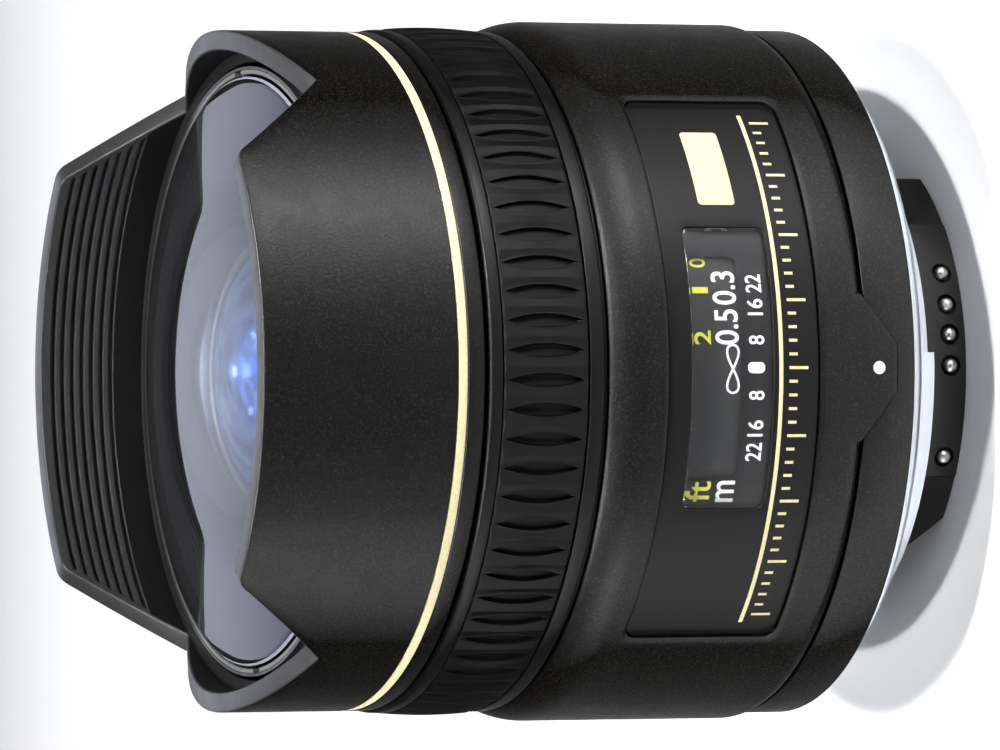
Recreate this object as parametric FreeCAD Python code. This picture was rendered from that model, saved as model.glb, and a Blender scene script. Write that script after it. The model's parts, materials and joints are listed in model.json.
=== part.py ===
import FreeCAD, Part
import math
import os
from FreeCAD import Vector

# Fisheye lens for an SLR camera. Millimetres and degrees.
# The origin is the centre of the mount's flange face, +Z runs along the optical axis to the front.
# Angles round the axis start at the mounting index (-Y) and grow towards +X.

# Outside sizes
MAIN_R = 31.5
MAIN_WALL = 1.3
SKIRT_STEP = 0.47
BARREL_STEP = 1.11
GRIP_STEP = 0.72
LIP_STEP = 0.9

# Stations along the axis, each measured on from the one before
FLANGE_SHOW = 1.5
FLANGE_T = 1.9
SKIRT_L = 4.75
SPLIT_GAP = 0.39
MAIN_L = 23.76
RING_GAP = 0.38
REAR_LIP_L = 1.45
GRIP_L = 8.2
FRONT_LIP_L = 1.17
HOOD_GAP = 0.35
HOOD_L = 20.53

# Clearances
FIT = 0.02
RUN = 0.05
SLIDE = 0.08

# Main barrel
MAIN_REAR_ROUND = 1.06
MAIN_REAR_DROP = 0.4
SHOULDER_L = 3.6
SHOULDER_DROP = 1.1
PANEL_DEPTH = 0.55
PANEL_T = 0.28
PANEL_REAR = 3.9
PANEL_L = 14.4
PANEL_HALF = 49.0
PANEL_CORNER = 1.2
PANEL_GAP = 0.1
WINDOW_REAR = 4.3
WINDOW_L = 7.8
WINDOW_HALF = 23.3
WINDOW_T = 0.85
WINDOW_CORNER = 0.6
TONGUE_L = 3.4
TONGUE_HALF_FRONT = 12.3
TONGUE_HALF_REAR = 3.7
DOT_R = 0.76
DOT_DEPTH = 0.6
DOT_PROUD = 0.03
DOT_BACK = 1.45

# Rear cover
SPIGOT_L = 3.2
SPIGOT_WALL = 0.8
COVER_LIP_T = 1.0
COVER_LIP_W = 1.3
RIM_ROUND = 0.25

# Hood barrel
HOOD_WALL = 1.8
HOOD_NOTCH_Z = 10.0
PETAL_TOP_HALF = 18.7
PETAL_NOTCH_HALF = 25.4
PETAL_CORNER = 1.4
SIDE_PETAL_RISE = 3.4
SIDE_PETAL_HALF = 16.86
HOOD_FLOOR_Z = 10.65
RIB_COUNT = 7
RIB_FIRST = 0.95
RIB_PITCH = 0.93
RIB_GROOVE = 0.43
RIB_DEPTH = 0.45
GOLD_Z = 1.61
GOLD_W = 0.96
GOLD_DEPTH = 0.5
GOLD_SUNK = 0.04
SET_SCREW_R = 0.45
SET_SCREW_BITE = 0.9
SET_SCREW_PHIS = (45, 165, 285)

# Focus ring and grip
RING_WALL = 1.15
GRIP_T = 0.72
GRIP_CROWN = 0.18
RIB_GAPS = 74
RIB_GAP_PHASE = 2.87
RIB_GAP_W = 1.25
RIB_GAP_L = 7.3
RIB_GAP_DEPTH = 0.5
LIP_ROUND = 0.3

# Nested tubes inside, from the drum inwards
DRUM_GAP = 0.3
DRUM_WALL = 0.7
DRUM_L = 19.0
DRUM_SEAT_L = 2.2
CAM_GAP = 0.32
CAM_WALL = 1.28
CAM_REAR_Z = 6.8
TUBE_WALL = 1.25
TUBE_FOOT_T = 2.5
TUBE_FOOT_STEP = 0.4
TUBE_WAIST_L = 3.2
TUBE_WAIST_WALL = 1.5
TUBE_WAIST_STEP = 0.65
TUBE_FRONT = 4.03
SLEEVE_WALL = 1.2
SLEEVE_L = 23.0
SLEEVE_SEAT_L = 2.0

# Focusing
FOCUS_TURN = 50.0
FRONT_TRAVEL = 2.1
REAR_SHARE = 0.8
CAM_PIN_R = 1.0
CAM_PIN_SUNK = 0.18
FRONT_PIN_Z = 35.0
REAR_PIN_Z = 11.9
FRONT_PIN_PHI = 20.0
REAR_PIN_PHI = 50.0
CAM_PIN_COUNT = 3
STOP_R = 1.5
STOP_Z = 23.0
STOP_PHI = -150.0
RING_SCREW_R = 0.8
RING_SCREW_Z = 38.9
RING_SCREW_PHIS = (75, 195, 315)

# Bayonet mount
MOUNT_STEP = 1.53
MOUNT_BEVEL = 0.5
FLANGE_W = 7.6
THROAT_WALL = 1.3
THROAT_L = 3.8
LUG_H = 1.4
LUG_T = 1.5
LUG_SPAN = 59.6
LUG_PHI = -26.2
FACE_RELIEF = 0.25
FACE_RELIEF_W = 1.8
BAFFLE_SEAT_STEP = 0.55
BAFFLE_SEAT_T = 0.9
MOUNT_SCREW_R = 0.85
MOUNT_SCREW_HEAD_R = 1.6
MOUNT_SCREW_SINK = 0.05
MOUNT_SCREW_L = 3.9
MOUNT_SCREW_PHIS = (40.0, 100.0, 170.0, 230.0, 310.0)
SCREW_CROSS_W = 0.35
SCREW_CROSS_DEPTH = 0.5
LOCK_PHI = -90.0
LOCK_STEP = 3.1
LOCK_W = 4.4
LOCK_L = 3.0

# Rear baffle and contacts
BAFFLE_STEP = 0.3
BAFFLE_WALL = 2.2
BAFFLE_REACH = 8.2
BAFFLE_BORE = 12.6
BAFFLE_FROM = -60.0
BAFFLE_TO = 58.5
BAFFLE_SLOPE_FROM = -41.0
BAFFLE_SLOPE_DROP = 4.0
BLOCK_FROM = -28.0
BLOCK_TO = 39.5
BLOCK_GAP = 0.35
BLOCK_PROUD = 0.15
BLOCK_FRONT = 0.6
PIN_R = 0.62
PIN_STEM_R = 0.42
PIN_WELL_R = 0.95
PIN_WELL_DEPTH = 0.86
PIN_Z = -6.7
PIN_PHIS = (25.0, 16.5, 8.8, 0.9, -22.6)
FLEX_T = 0.15
FLEX_HALF = 8.0
BOARD_T = 0.6
BOARD_HALF = 62.0
BOARD_W = 3.4
CHIP_T = 0.9
CHIP_HALF = 4.5
CHIP_MARGIN = 0.5
CHIP_PHIS = (-42.0, -25.0, 30.0)

# Autofocus drive
AF_PHI = 135.0
MODULE = 0.4
PINION_TEETH = 10
GEAR_SECTOR_TEETH = 27
GEAR_T = 2.0
TOOTH_TIP = 0.32
TOOTH_ROOT = 0.42
TOOTH_ROOT_HALF = 0.36
TOOTH_TIP_HALF = 0.15
AF_SHAFT_R = 0.8
AF_HEAD_R = 2.3
AF_HEAD_T = 2.6
AF_HEAD_SUNK = 0.1
AF_SLOT_W = 1.1
AF_SLOT_DEPTH = 1.0
AF_BUSH_WALL = 0.6
AF_BUSH_SUNK = 0.3
BEARING_T = 1.2
BEARING_HALF = 7.0
BEARING_REACH = 2.2

# Aperture linkage
LEVER_PHI = 90.0
LEVER_TURN = 14.0
LEVER_REACH = 6.4
LEVER_HALF = 2.2
LEVER_STEP = 0.3
LEVER_WALL = 1.4
AP_RING_T = 1.3
AP_RING_W = 2.7
AP_RING_FLOAT = 0.2
RETAINER_SEAT = 1.0
RETAINER_W = 2.2
RETAINER_T = 0.7
ARM_W = 1.2
ARM_STEP = 0.1
ARM_T = 1.2
ARM_TOP = 30.6
SWING_ROOM = 1.0
SPRING_PHI = -160.0
SPRING_TURNS = 9
SPRING_R = 0.7
SPRING_WIRE = 0.16
SPRING_PITCH = 0.6

# Front optics: each surface is (axis height, radius of curvature), + radius when it bulges to the front
FRONT_RIM_STEP = 0.44
FRONT_RIM_Z = 53.1
FRONT_DOME_R = 74.0
FRONT_STEP_Z = 51.4
FRONT_EDGE_L = 3.2
FRONT_BACK_Z = 55.0
FRONT_BACK_R = 19.0
FRONT_BACK_CLEAR = 16.0
FRONT_FOOT_STEP = 4.7
CELL_STEP = 0.35
CELL_WALL = 0.5
RETAIN_LIP = 0.24
RETAIN_TOP = 0.25
SPANNER_W = 1.5
SPANNER_DEPTH = 0.7
SPANNER_PHI = 94.5
CELL_FLOOR_T = 1.2
SECOND_R = 14.5
SECOND_TOP = 49.5
SECOND_TOP_R = 24.0
SECOND_TOP_CLEAR = 13.6
SECOND_BACK = 47.9
SECOND_BACK_R = 10.5
SECOND_BACK_CLEAR = 9.6
SECOND_RING_T = 0.75
BOSS_WALL = 1.8
BOSS_L = 5.0
INNER_CELL_WALL = 1.9
INNER_CELL_L = 12.1
DOUBLET_R = 8.6
DOUBLET_TOP = 39.6
DOUBLET_TOP_R = -30.0
DOUBLET_MID = 38.4
DOUBLET_MID_R = 14.0
DOUBLET_EDGE = 1.25
DOUBLET_BACK_R = -22.0
CEMENT = 0.02

# Iris
IRIS_PLATE_T = 1.2
IRIS_CUP_WALL = 1.3
IRIS_COLLAR_L = 2.6
IRIS_COLLAR_WALL = 1.3
FORK_ARM_L = 4.2
IRIS_RING_W = 4.4
IRIS_RING_T = 0.7
IRIS_OPEN_SHARE = 0.366
IRIS_HOLE_STEP = 0.3
BLADE_COUNT = 7
BLADE_T = 0.1
BLADE_STEP = 0.14
BLADE_BAND_SHARE = 0.296
BLADE_SPAN = 122.0
BLADE_SWING = 23.5
BLADE_PIVOT_SHARE = 0.7606
BLADE_TAIL_SHARE = 0.2535
BLADE_EAR_R = 0.75
BLADE_PIN_R = 0.35
IRIS_COVER_T = 0.9
FORK_W = 3.4
FORK_TIP = 0.7

# Rear optics
REAR_CELL_R = 10.6
REAR_CELL_TOP = 24.7
REAR_CELL_FOOT = -2.2
REAR_CELL_STEP_Z = 12.6
STOP_LENS_R = 6.7
STOP_LENS_TOP = 23.6
STOP_LENS_TOP_R = 25.0
STOP_LENS_BACK_R = -40.0
STOP_LENS_EDGE = 1.2
MIDDLE_TOP = 18.6
MIDDLE_TOP_R = -20.0
MIDDLE_MID = 17.6
MIDDLE_MID_R = 12.0
MIDDLE_EDGE = 1.2
MIDDLE_BACK_R = -14.0
REAR_LENS_R = 9.05
REAR_TOP = 11.4
REAR_TOP_R = 24.0
REAR_EDGE = 1.2
REAR_MID_R = -13.0
REAR_BACK_EDGE = 2.6
REAR_BACK_R = -30.0
LAST_TOP = 3.4
LAST_TOP_R = 40.0
LAST_EDGE = 1.6
LAST_BACK_R = -30.0
RIM_CLEAR = 0.6
CARRIER_RIM_L = 5.0
CARRIER_RIM_WALL = 1.3
CARRIER_WEB_T = 1.4
CARRIER_REAR_Z = 9.4
HUB_WALL = 1.6
SPACER_WALL = 0.5
HOLDER_T = 0.8
HOLDER_R = 12.0
HOLDER_WINDOW = 8.6
HOLDER_RAIL_W = 1.2
HOLDER_RAIL_H = 1.3
HOLDER_RAIL_X = 9.6
HOLDER_RAIL_L = 15.0

os.makedirs("parts", exist_ok=True)
AXIS = Vector(0, 0, 1)
ORIGIN = Vector(0, 0, 0)


def export(name, *solids):
    """Write one node: a single solid, or several solids that lie apart."""
    shape = solids[0] if len(solids) == 1 else Part.Compound(list(solids))
    shape.exportStep("parts/" + name + ".step")


def at(radius, phi, z):
    """Point at a radius, an angle from the index and a height."""
    turn = math.radians(phi)
    return Vector(radius * math.sin(turn), -radius * math.cos(turn), z)


def turned_by(shape, phi):
    """Copy of a shape turned about the optical axis."""
    copy = shape.copy()
    copy.rotate(ORIGIN, AXIS, phi)
    return copy


def disc(radius, low, high):
    return Part.makeCylinder(radius, high - low, Vector(0, 0, low))


def tube(outer, inner, low, high):
    """Plain tube; the bore runs past both ends before it is cut."""
    return disc(outer, low, high).cut(disc(inner, low - 1, high + 1))


def outline(start, *steps):
    """Closed wire in the (radius, z) plane: a step is a point, or a middle and an end for an arc."""
    points = [Vector(start[0], 0, start[1])]
    edges = []
    for step in steps:
        is_arc = isinstance(step[0], tuple)
        end = Vector(step[1][0], 0, step[1][1]) if is_arc else Vector(step[0], 0, step[1])
        if is_arc:
            middle = Vector(step[0][0], 0, step[0][1])
            edges.append(Part.Arc(points[-1], middle, end).toShape())
        else:
            edges.append(Part.makeLine(points[-1], end))
        points.append(end)
    edges.append(Part.makeLine(points[-1], points[0]))
    return Part.Wire(edges)


def revolved(start, *steps):
    """Solid of revolution about the optical axis."""
    return Part.Face(outline(start, *steps)).revolve(ORIGIN, AXIS, 360)


def sector(outer, inner, low, high, start, end):
    """Part of a tube between two angles."""
    corners = [at(inner, start, low), at(outer, start, low), at(outer, start, high), at(inner, start, high)]
    face = Part.Face(Part.makePolygon(corners + corners[:1]))
    return face.revolve(ORIGIN, AXIS, end - start)


def radial_pin(radius, start_r, end_r, phi, z):
    """Round pin along a radius."""
    length = end_r - start_r
    return Part.makeCylinder(radius, length, at(start_r, phi, z), at(1, phi, 0))


def radial_block(width, low, high, start_r, end_r, phi):
    """Block with flat sides along a radius."""
    block = Part.makeBox(width, end_r - start_r, high - low, Vector(-width / 2, -end_r, low))
    return turned_by(block, phi)


def axial_pin(radius, low, high, pitch_r, phi):
    return Part.makeCylinder(radius, high - low, at(pitch_r, phi, low))


def joined(first, *others):
    """One clean solid from touching or overlapping pieces."""
    shape = first.fuse(list(others)) if others else first
    return shape.removeSplitter()


def corner_rounded(plate, radius):
    """Round the four corners of a curved plate, the edges that run along a radius."""
    corners = []
    for edge in plate.Edges:
        ends = [vertex.Point for vertex in edge.Vertexes]
        if len(ends) < 2:
            continue
        flat = abs(ends[0].z - ends[1].z) < FIT
        reach = abs(math.hypot(ends[0].x, ends[0].y) - math.hypot(ends[1].x, ends[1].y))
        if flat and reach > FIT:
            corners.append(edge)
    return plate.makeFillet(radius, corners)


def sag(curve_r, r):
    """Depth of a ball of radius curve_r at a distance r from its pole, with the sign of curve_r."""
    return math.copysign(abs(curve_r) - math.sqrt(curve_r * curve_r - r * r), curve_r)


def lens_arc(pole, curve_r, r_from, r_to):
    """Middle and end of the meridian arc of a lens surface."""
    middle = (r_from + r_to) / 2
    return ((middle, pole - sag(curve_r, middle)), (r_to, pole - sag(curve_r, r_to)))


def lens(edge_r, top, top_r, top_clear, back, back_r, back_clear):
    """Glass with two polished surfaces, flat margins outside them and a ground cylindrical edge."""
    top_rim = top - sag(top_r, top_clear)
    back_rim = back - sag(back_r, back_clear)
    return revolved((0, top), lens_arc(top, top_r, 0, top_clear), (edge_r, top_rim),
                    (edge_r, back_rim), (back_clear, back_rim), lens_arc(back, back_r, back_clear, 0))


# Radii and stations worked out from the sizes above
main_bore = MAIN_R - MAIN_WALL
skirt_r = MAIN_R - SKIRT_STEP
barrel_r = MAIN_R - BARREL_STEP
grip_r = MAIN_R - GRIP_STEP
lip_r = MAIN_R - LIP_STEP
drum_r = main_bore - DRUM_GAP
drum_bore = drum_r - DRUM_WALL
cam_r = drum_bore - CAM_GAP
cam_bore = cam_r - CAM_WALL
tube_r = cam_bore - RUN
tube_bore = tube_r - TUBE_WALL
waist_r = tube_r - TUBE_WAIST_STEP
waist_bore = waist_r - TUBE_WAIST_WALL
sleeve_r = tube_bore - SLIDE
sleeve_bore = sleeve_r - SLEEVE_WALL

mount_r = skirt_r - MOUNT_STEP
cover_lip_bore = mount_r - COVER_LIP_W
throat_r = mount_r - FLANGE_W
throat_bore = throat_r - THROAT_WALL
lug_r = throat_r + LUG_H
relief_r = throat_r + FACE_RELIEF_W
baffle_seat_r = throat_r + BAFFLE_SEAT_STEP
screw_circle = (baffle_seat_r + mount_r) / 2
lock_r = mount_r - LOCK_STEP
baffle_r = throat_bore - BAFFLE_STEP
foot_bore = throat_bore + TUBE_FOOT_STEP
ap_ring_in_r = foot_bore - AP_RING_W
lever_in_r = ap_ring_in_r + LEVER_STEP
arm_in_r = ap_ring_in_r + ARM_STEP
arm_out_r = arm_in_r + ARM_T
cell_r = tube_r - CELL_STEP
front_edge_r = cell_r - CELL_WALL
front_rim_r = front_edge_r - FRONT_RIM_STEP
front_foot_r = front_edge_r - FRONT_FOOT_STEP
inner_cell_r = DOUBLET_R + INNER_CELL_WALL
fork_reach = arm_out_r + FORK_TIP
iris_ring_r = arm_in_r - FORK_ARM_L
iris_ring_in_r = iris_ring_r - IRIS_RING_W
iris_open_r = iris_ring_r * IRIS_OPEN_SHARE
iris_hole_r = iris_open_r + IRIS_HOLE_STEP
blade_band = iris_ring_r * BLADE_BAND_SHARE
blade_pivot_r = iris_ring_r * BLADE_PIVOT_SHARE
blade_tail = iris_ring_r * BLADE_TAIL_SHARE

skirt_top = FLANGE_SHOW + SKIRT_L
main_rear = skirt_top + SPLIT_GAP
main_front = main_rear + MAIN_L
ring_rear = main_front + RING_GAP
grip_rear = ring_rear + REAR_LIP_L
grip_front = grip_rear + GRIP_L
ring_front = grip_front + FRONT_LIP_L
hood_rear = ring_front + HOOD_GAP
hood_front = hood_rear + HOOD_L
hood_bore = barrel_r - HOOD_WALL
foot_rear = FLANGE_T + COVER_LIP_T
foot_front = foot_rear + TUBE_FOOT_T - COVER_LIP_T
tube_front = hood_rear + TUBE_FRONT


# Bayonet mount: flange, throat and three lugs in one piece of chromed brass
def bayonet_mount():
    flange = revolved((throat_bore, 0), (mount_r - MOUNT_BEVEL, 0), (mount_r, MOUNT_BEVEL),
                      (mount_r, FLANGE_T), (throat_bore, FLANGE_T))
    throat = tube(throat_r, throat_bore, -THROAT_L, 0)
    lugs = []
    for turn in (0, 120, 240):
        start = LUG_PHI - LUG_SPAN / 2 + turn
        lugs.append(sector(lug_r, throat_bore, -THROAT_L, LUG_T - THROAT_L, start, start + LUG_SPAN))
    relief = tube(relief_r, throat_r, -FACE_RELIEF, FACE_RELIEF)
    seat = disc(baffle_seat_r, FLANGE_T - BAFFLE_SEAT_T, FLANGE_T + 1)
    holes = [axial_pin(bush_r + FIT, -1, FLANGE_T + 1, af_circle, AF_PHI)]
    for phi in MOUNT_SCREW_PHIS:
        holes.append(axial_pin(MOUNT_SCREW_R + RUN, -1, FLANGE_T + 1, screw_circle, phi))
        holes.append(countersink(phi, RUN))
    lock = radial_block(LOCK_W, -1, FLANGE_T / 2, lock_r - LOCK_L / 2, mount_r + 1, LOCK_PHI)
    return joined(flange, throat, *lugs).cut([relief, seat, lock] + holes)


def countersink(phi, clearance):
    """Conical head of a mount screw, or its seat when a clearance is given."""
    depth = MOUNT_SCREW_HEAD_R - MOUNT_SCREW_R
    low = 0 if clearance else MOUNT_SCREW_SINK
    cone = Part.makeCone(MOUNT_SCREW_HEAD_R + clearance, MOUNT_SCREW_R + clearance, depth,
                         at(screw_circle, phi, low))
    return cone


def mount_screws():
    screws = []
    for phi in MOUNT_SCREW_PHIS:
        low = MOUNT_SCREW_SINK + (MOUNT_SCREW_HEAD_R - MOUNT_SCREW_R)
        shank = axial_pin(MOUNT_SCREW_R, low, MOUNT_SCREW_L, screw_circle, phi)
        slots = []
        for turn in (0, 90):
            slot = Part.makeBox(2 * MOUNT_SCREW_R, SCREW_CROSS_W, SCREW_CROSS_DEPTH,
                                Vector(-MOUNT_SCREW_R, -SCREW_CROSS_W / 2, 0))
            slot.rotate(ORIGIN, AXIS, turn)
            slot.translate(at(screw_circle, phi, 0))
            slots.append(slot)
        screws.append(joined(countersink(phi, 0), shank).cut(slots))
    return screws


# Rear baffle: plate behind the aperture ring and the wall round the contacts
def rear_baffle():
    front = FLANGE_T
    rear = FLANGE_T - BAFFLE_SEAT_T + FIT
    plate = tube(baffle_seat_r - RUN, BAFFLE_BORE, rear, front)
    wall = sector(baffle_r, baffle_r - BAFFLE_WALL, -BAFFLE_REACH, front, BAFFLE_FROM, BAFFLE_TO)
    slope = sloped_end()
    block_room = sector(baffle_r + 1, baffle_r - BAFFLE_WALL - 1, -BAFFLE_REACH - 1, BLOCK_FRONT,
                        BLOCK_FROM - BLOCK_GAP, BLOCK_TO + BLOCK_GAP)
    swing_from = LEVER_PHI - LEVER_HALF - SWING_ROOM
    swing_to = LEVER_PHI + LEVER_TURN + LEVER_HALF + SWING_ROOM
    lever_slot = sector(lever_in_r + LEVER_WALL + SLIDE, lever_in_r - SLIDE, rear - 1, front + 1,
                        swing_from, swing_to)
    flex_slot = sector(flex_r + 2 * FLEX_T, flex_r - 2 * FLEX_T, rear - 1, front + 1,
                       -FLEX_HALF - SWING_ROOM, FLEX_HALF + SWING_ROOM)
    return joined(plate, wall).cut([slope, block_room, lever_slot, flex_slot])


def sloped_end():
    """Wedge that bevels the rear edge of the baffle's wall towards its low end."""
    reach = baffle_r + 1
    x_start = baffle_r * math.sin(math.radians(BAFFLE_SLOPE_FROM))
    x_end = baffle_r * math.sin(math.radians(BAFFLE_FROM))
    rise = BAFFLE_SLOPE_DROP * (x_start + reach) / (x_start - x_end)
    corners = [Vector(x_start, 0, -BAFFLE_REACH), Vector(-reach, 0, -BAFFLE_REACH + rise),
               Vector(-reach, 0, -BAFFLE_REACH - 1), Vector(x_start, 0, -BAFFLE_REACH - 1)]
    return Part.Face(Part.makePolygon(corners + corners[:1])).extrude(Vector(0, -reach, 0))


def contact_block():
    block = sector(baffle_r + BLOCK_PROUD, baffle_r - BAFFLE_WALL, -BAFFLE_REACH, BLOCK_FRONT - RUN,
                   BLOCK_FROM, BLOCK_TO)
    holes = []
    for phi in PIN_PHIS:
        holes.append(radial_pin(PIN_STEM_R + FIT, baffle_r - BAFFLE_WALL - 1, baffle_r, phi, PIN_Z))
        well_floor = baffle_r + BLOCK_PROUD - PIN_WELL_DEPTH
        holes.append(radial_pin(PIN_WELL_R, well_floor, baffle_r + 1, phi, PIN_Z))
    return block.cut(holes)


def contact_pins():
    pins = []
    for phi in PIN_PHIS:
        ball = Part.makeSphere(PIN_R, at(baffle_r, phi, PIN_Z))
        stem = radial_pin(PIN_STEM_R, flex_r + FLEX_T, baffle_r, phi, PIN_Z)
        pins.append(joined(ball, stem))
    return pins


def contact_flex():
    """Strip from the back of the contacts, forward through the baffle and out on to the board."""
    top = board_top + FLEX_T
    low = PIN_Z - PIN_R
    half = max(abs(phi) for phi in PIN_PHIS) + FLEX_HALF / 4
    strip = sector(flex_r + FLEX_T, flex_r, low, -LUG_T, -half, half)
    riser = sector(flex_r + FLEX_T, flex_r, -LUG_T, top, -FLEX_HALF, FLEX_HALF)
    tail = sector(board_in_r + BOARD_W / 2, flex_r, board_top, top, -FLEX_HALF, FLEX_HALF)
    return joined(strip, riser, tail)


def circuit_board():
    board = sector(board_in_r + BOARD_W, board_in_r, foot_front + FIT, board_top, -BOARD_HALF, BOARD_HALF)
    chips = []
    for phi in CHIP_PHIS:
        chips.append(sector(board_in_r + BOARD_W - CHIP_MARGIN, board_in_r + CHIP_MARGIN, board_top,
                            board_top + CHIP_T, phi - CHIP_HALF, phi + CHIP_HALF))
    return joined(board, *chips)


# Rear cover and main barrel
def rear_cover():
    spigot_r = main_bore - FIT
    bore = mount_r + RUN
    shell = revolved((skirt_r - RIM_ROUND, FLANGE_SHOW), (skirt_r, FLANGE_SHOW + RIM_ROUND),
                     (skirt_r, skirt_top), (spigot_r, skirt_top), (spigot_r, skirt_top + SPIGOT_L),
                     (spigot_bore, skirt_top + SPIGOT_L), (spigot_bore, foot_rear),
                     (cover_lip_bore, foot_rear), (cover_lip_bore, FLANGE_T), (bore, FLANGE_T),
                     (bore, FLANGE_SHOW))
    return shell.cut(axial_pin(bush_r + FIT, FLANGE_T - 1, foot_rear + 1, af_circle, AF_PHI))


def main_barrel():
    end_r = MAIN_R - SHOULDER_DROP
    curve = (SHOULDER_L ** 2 + SHOULDER_DROP ** 2) / (2 * SHOULDER_DROP)
    half_l = SHOULDER_L / 2
    middle = (MAIN_R - sag(curve, half_l), main_front - half_l)
    round_end = (MAIN_R - MAIN_REAR_DROP, main_rear)
    round_r = (MAIN_REAR_ROUND ** 2 + MAIN_REAR_DROP ** 2) / (2 * MAIN_REAR_DROP)
    round_mid = (MAIN_R - sag(round_r, MAIN_REAR_ROUND / 2), main_rear + MAIN_REAR_ROUND / 2)
    shell = revolved((main_bore, main_rear), round_end, (round_mid, (MAIN_R, main_rear + MAIN_REAR_ROUND)),
                     (MAIN_R, main_front - SHOULDER_L), (middle, (end_r, main_front)),
                     (main_bore, main_front))
    recess = corner_rounded(sector(MAIN_R + 1, panel_floor, panel_low, panel_low + PANEL_L,
                                   -PANEL_HALF, PANEL_HALF), PANEL_CORNER)
    window_hole = corner_rounded(sector(MAIN_R, main_bore - 1, window_low, window_low + WINDOW_L,
                                        -WINDOW_HALF, WINDOW_HALF), WINDOW_CORNER)
    dot_hole = radial_pin(DOT_R + FIT, skirt_r - 1, MAIN_R + 1, 0, dot_z)
    return joined(shell, tongue()).cut([recess, window_hole, dot_hole])


def tongue():
    """Tab of the main barrel that lies over the rear cover and carries the index."""
    blank = sector(MAIN_R, skirt_r + FIT, main_rear - TONGUE_L, main_rear + MAIN_REAR_ROUND,
                   -TONGUE_HALF_FRONT, TONGUE_HALF_FRONT)
    root = sector(MAIN_R, main_bore, main_rear, main_rear + MAIN_REAR_ROUND,
                  -TONGUE_HALF_FRONT, TONGUE_HALF_FRONT)
    wide = MAIN_R * math.sin(math.radians(TONGUE_HALF_FRONT))
    narrow = MAIN_R * math.sin(math.radians(TONGUE_HALF_REAR))
    low = main_rear - TONGUE_L
    high = main_rear + MAIN_REAR_ROUND
    corners = [Vector(-narrow, 0, low), Vector(narrow, 0, low), Vector(wide, 0, main_rear),
               Vector(wide, 0, high), Vector(-wide, 0, high), Vector(-wide, 0, main_rear)]
    shape = Part.Face(Part.makePolygon(corners + corners[:1])).extrude(Vector(0, -MAIN_R - 1, 0))
    return joined(blank, root).common(shape)


def name_panel():
    plate = corner_rounded(sector(panel_floor + FIT + PANEL_T, panel_floor + FIT, panel_low + PANEL_GAP,
                                  panel_low + PANEL_L - PANEL_GAP, -panel_plate_half, panel_plate_half),
                           PANEL_CORNER)
    hole = corner_rounded(sector(MAIN_R, main_bore, window_low, window_low + WINDOW_L,
                                 -WINDOW_HALF, WINDOW_HALF), WINDOW_CORNER)
    return plate.cut(hole)


def scale_window():
    top = panel_floor + FIT + PANEL_T
    gap = math.degrees(FIT / MAIN_R)
    return corner_rounded(sector(top, top - WINDOW_T, window_low + FIT, window_low + WINDOW_L - FIT,
                                 -WINDOW_HALF + gap, WINDOW_HALF - gap), WINDOW_CORNER)


def mount_index_dot():
    return radial_pin(DOT_R, skirt_r + RUN, MAIN_R + DOT_PROUD, 0, dot_z)


# Hood barrel with four petals
def hood_barrel():
    floor_z = hood_rear + HOOD_FLOOR_Z
    inside = []
    for rib in range(RIB_COUNT):
        top = hood_front - RIB_FIRST - rib * RIB_PITCH
        inside += [(hood_bore, top), (hood_bore + RIB_DEPTH, top),
                   (hood_bore + RIB_DEPTH, top - RIB_GROOVE), (hood_bore, top - RIB_GROOVE)]
    groove_low = hood_rear + GOLD_Z
    groove = [(barrel_r, groove_low), (barrel_r - GOLD_DEPTH, groove_low),
              (barrel_r - GOLD_DEPTH, groove_low + GOLD_W), (barrel_r, groove_low + GOLD_W)]
    shell = revolved((tube_r + FIT, hood_rear), (barrel_r - LIP_ROUND, hood_rear),
                     (barrel_r, hood_rear + LIP_ROUND), *groove, (barrel_r, hood_front),
                     (hood_bore, hood_front), *inside, (hood_bore, floor_z), (tube_r + FIT, floor_z))
    screw_holes = [radial_pin(SET_SCREW_R + FIT, tube_r - 1, barrel_r, phi, gold_mid)
                   for phi in SET_SCREW_PHIS]
    return shell.common(petal_envelope()).cut(screw_holes)


def petal_envelope():
    """Everything under the petal outline: tall petals at -Y and +Y, low rounded ones at -X and +X."""
    reach = barrel_r + 1
    notch_z = hood_front - HOOD_NOTCH_Z
    fall = HOOD_NOTCH_Z / (PETAL_NOTCH_HALF - PETAL_TOP_HALF)
    low = notch_z - (reach - PETAL_NOTCH_HALF) * fall
    half = [Vector(PETAL_TOP_HALF, reach, hood_front), Vector(reach, reach, low), Vector(reach, reach, 0)]
    corners = half + [Vector(-corner.x, reach, corner.z) for corner in reversed(half)]
    tall = Part.Face(Part.makePolygon(corners + corners[:1])).extrude(Vector(0, -2 * reach, 0))
    crests = [edge for edge in tall.Edges
              if edge.BoundBox.YLength > reach and edge.BoundBox.ZMin > notch_z]
    tall = tall.makeFillet(PETAL_CORNER, crests)
    side_r = (SIDE_PETAL_HALF ** 2 + SIDE_PETAL_RISE ** 2) / (2 * SIDE_PETAL_RISE)
    bar = Part.makeCylinder(side_r, 2 * reach, Vector(-reach, 0, notch_z + SIDE_PETAL_RISE - side_r),
                            Vector(1, 0, 0))
    cap = bar.common(Part.makeBox(2 * reach, 2 * reach, side_r, Vector(-reach, -reach, notch_z - 1)))
    base = Part.makeBox(2 * reach, 2 * reach, notch_z, Vector(-reach, -reach, 0))
    return tall.fuse([cap, base])


def gold_ring():
    low = hood_rear + GOLD_Z + FIT
    return tube(barrel_r - GOLD_SUNK, barrel_r - GOLD_DEPTH + FIT, low, low + GOLD_W - 2 * FIT)


def hood_set_screws():
    inner = tube_r - SET_SCREW_BITE
    outer = barrel_r - GOLD_DEPTH - FIT
    return [radial_pin(SET_SCREW_R, inner, outer, phi, gold_mid) for phi in SET_SCREW_PHIS]


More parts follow.
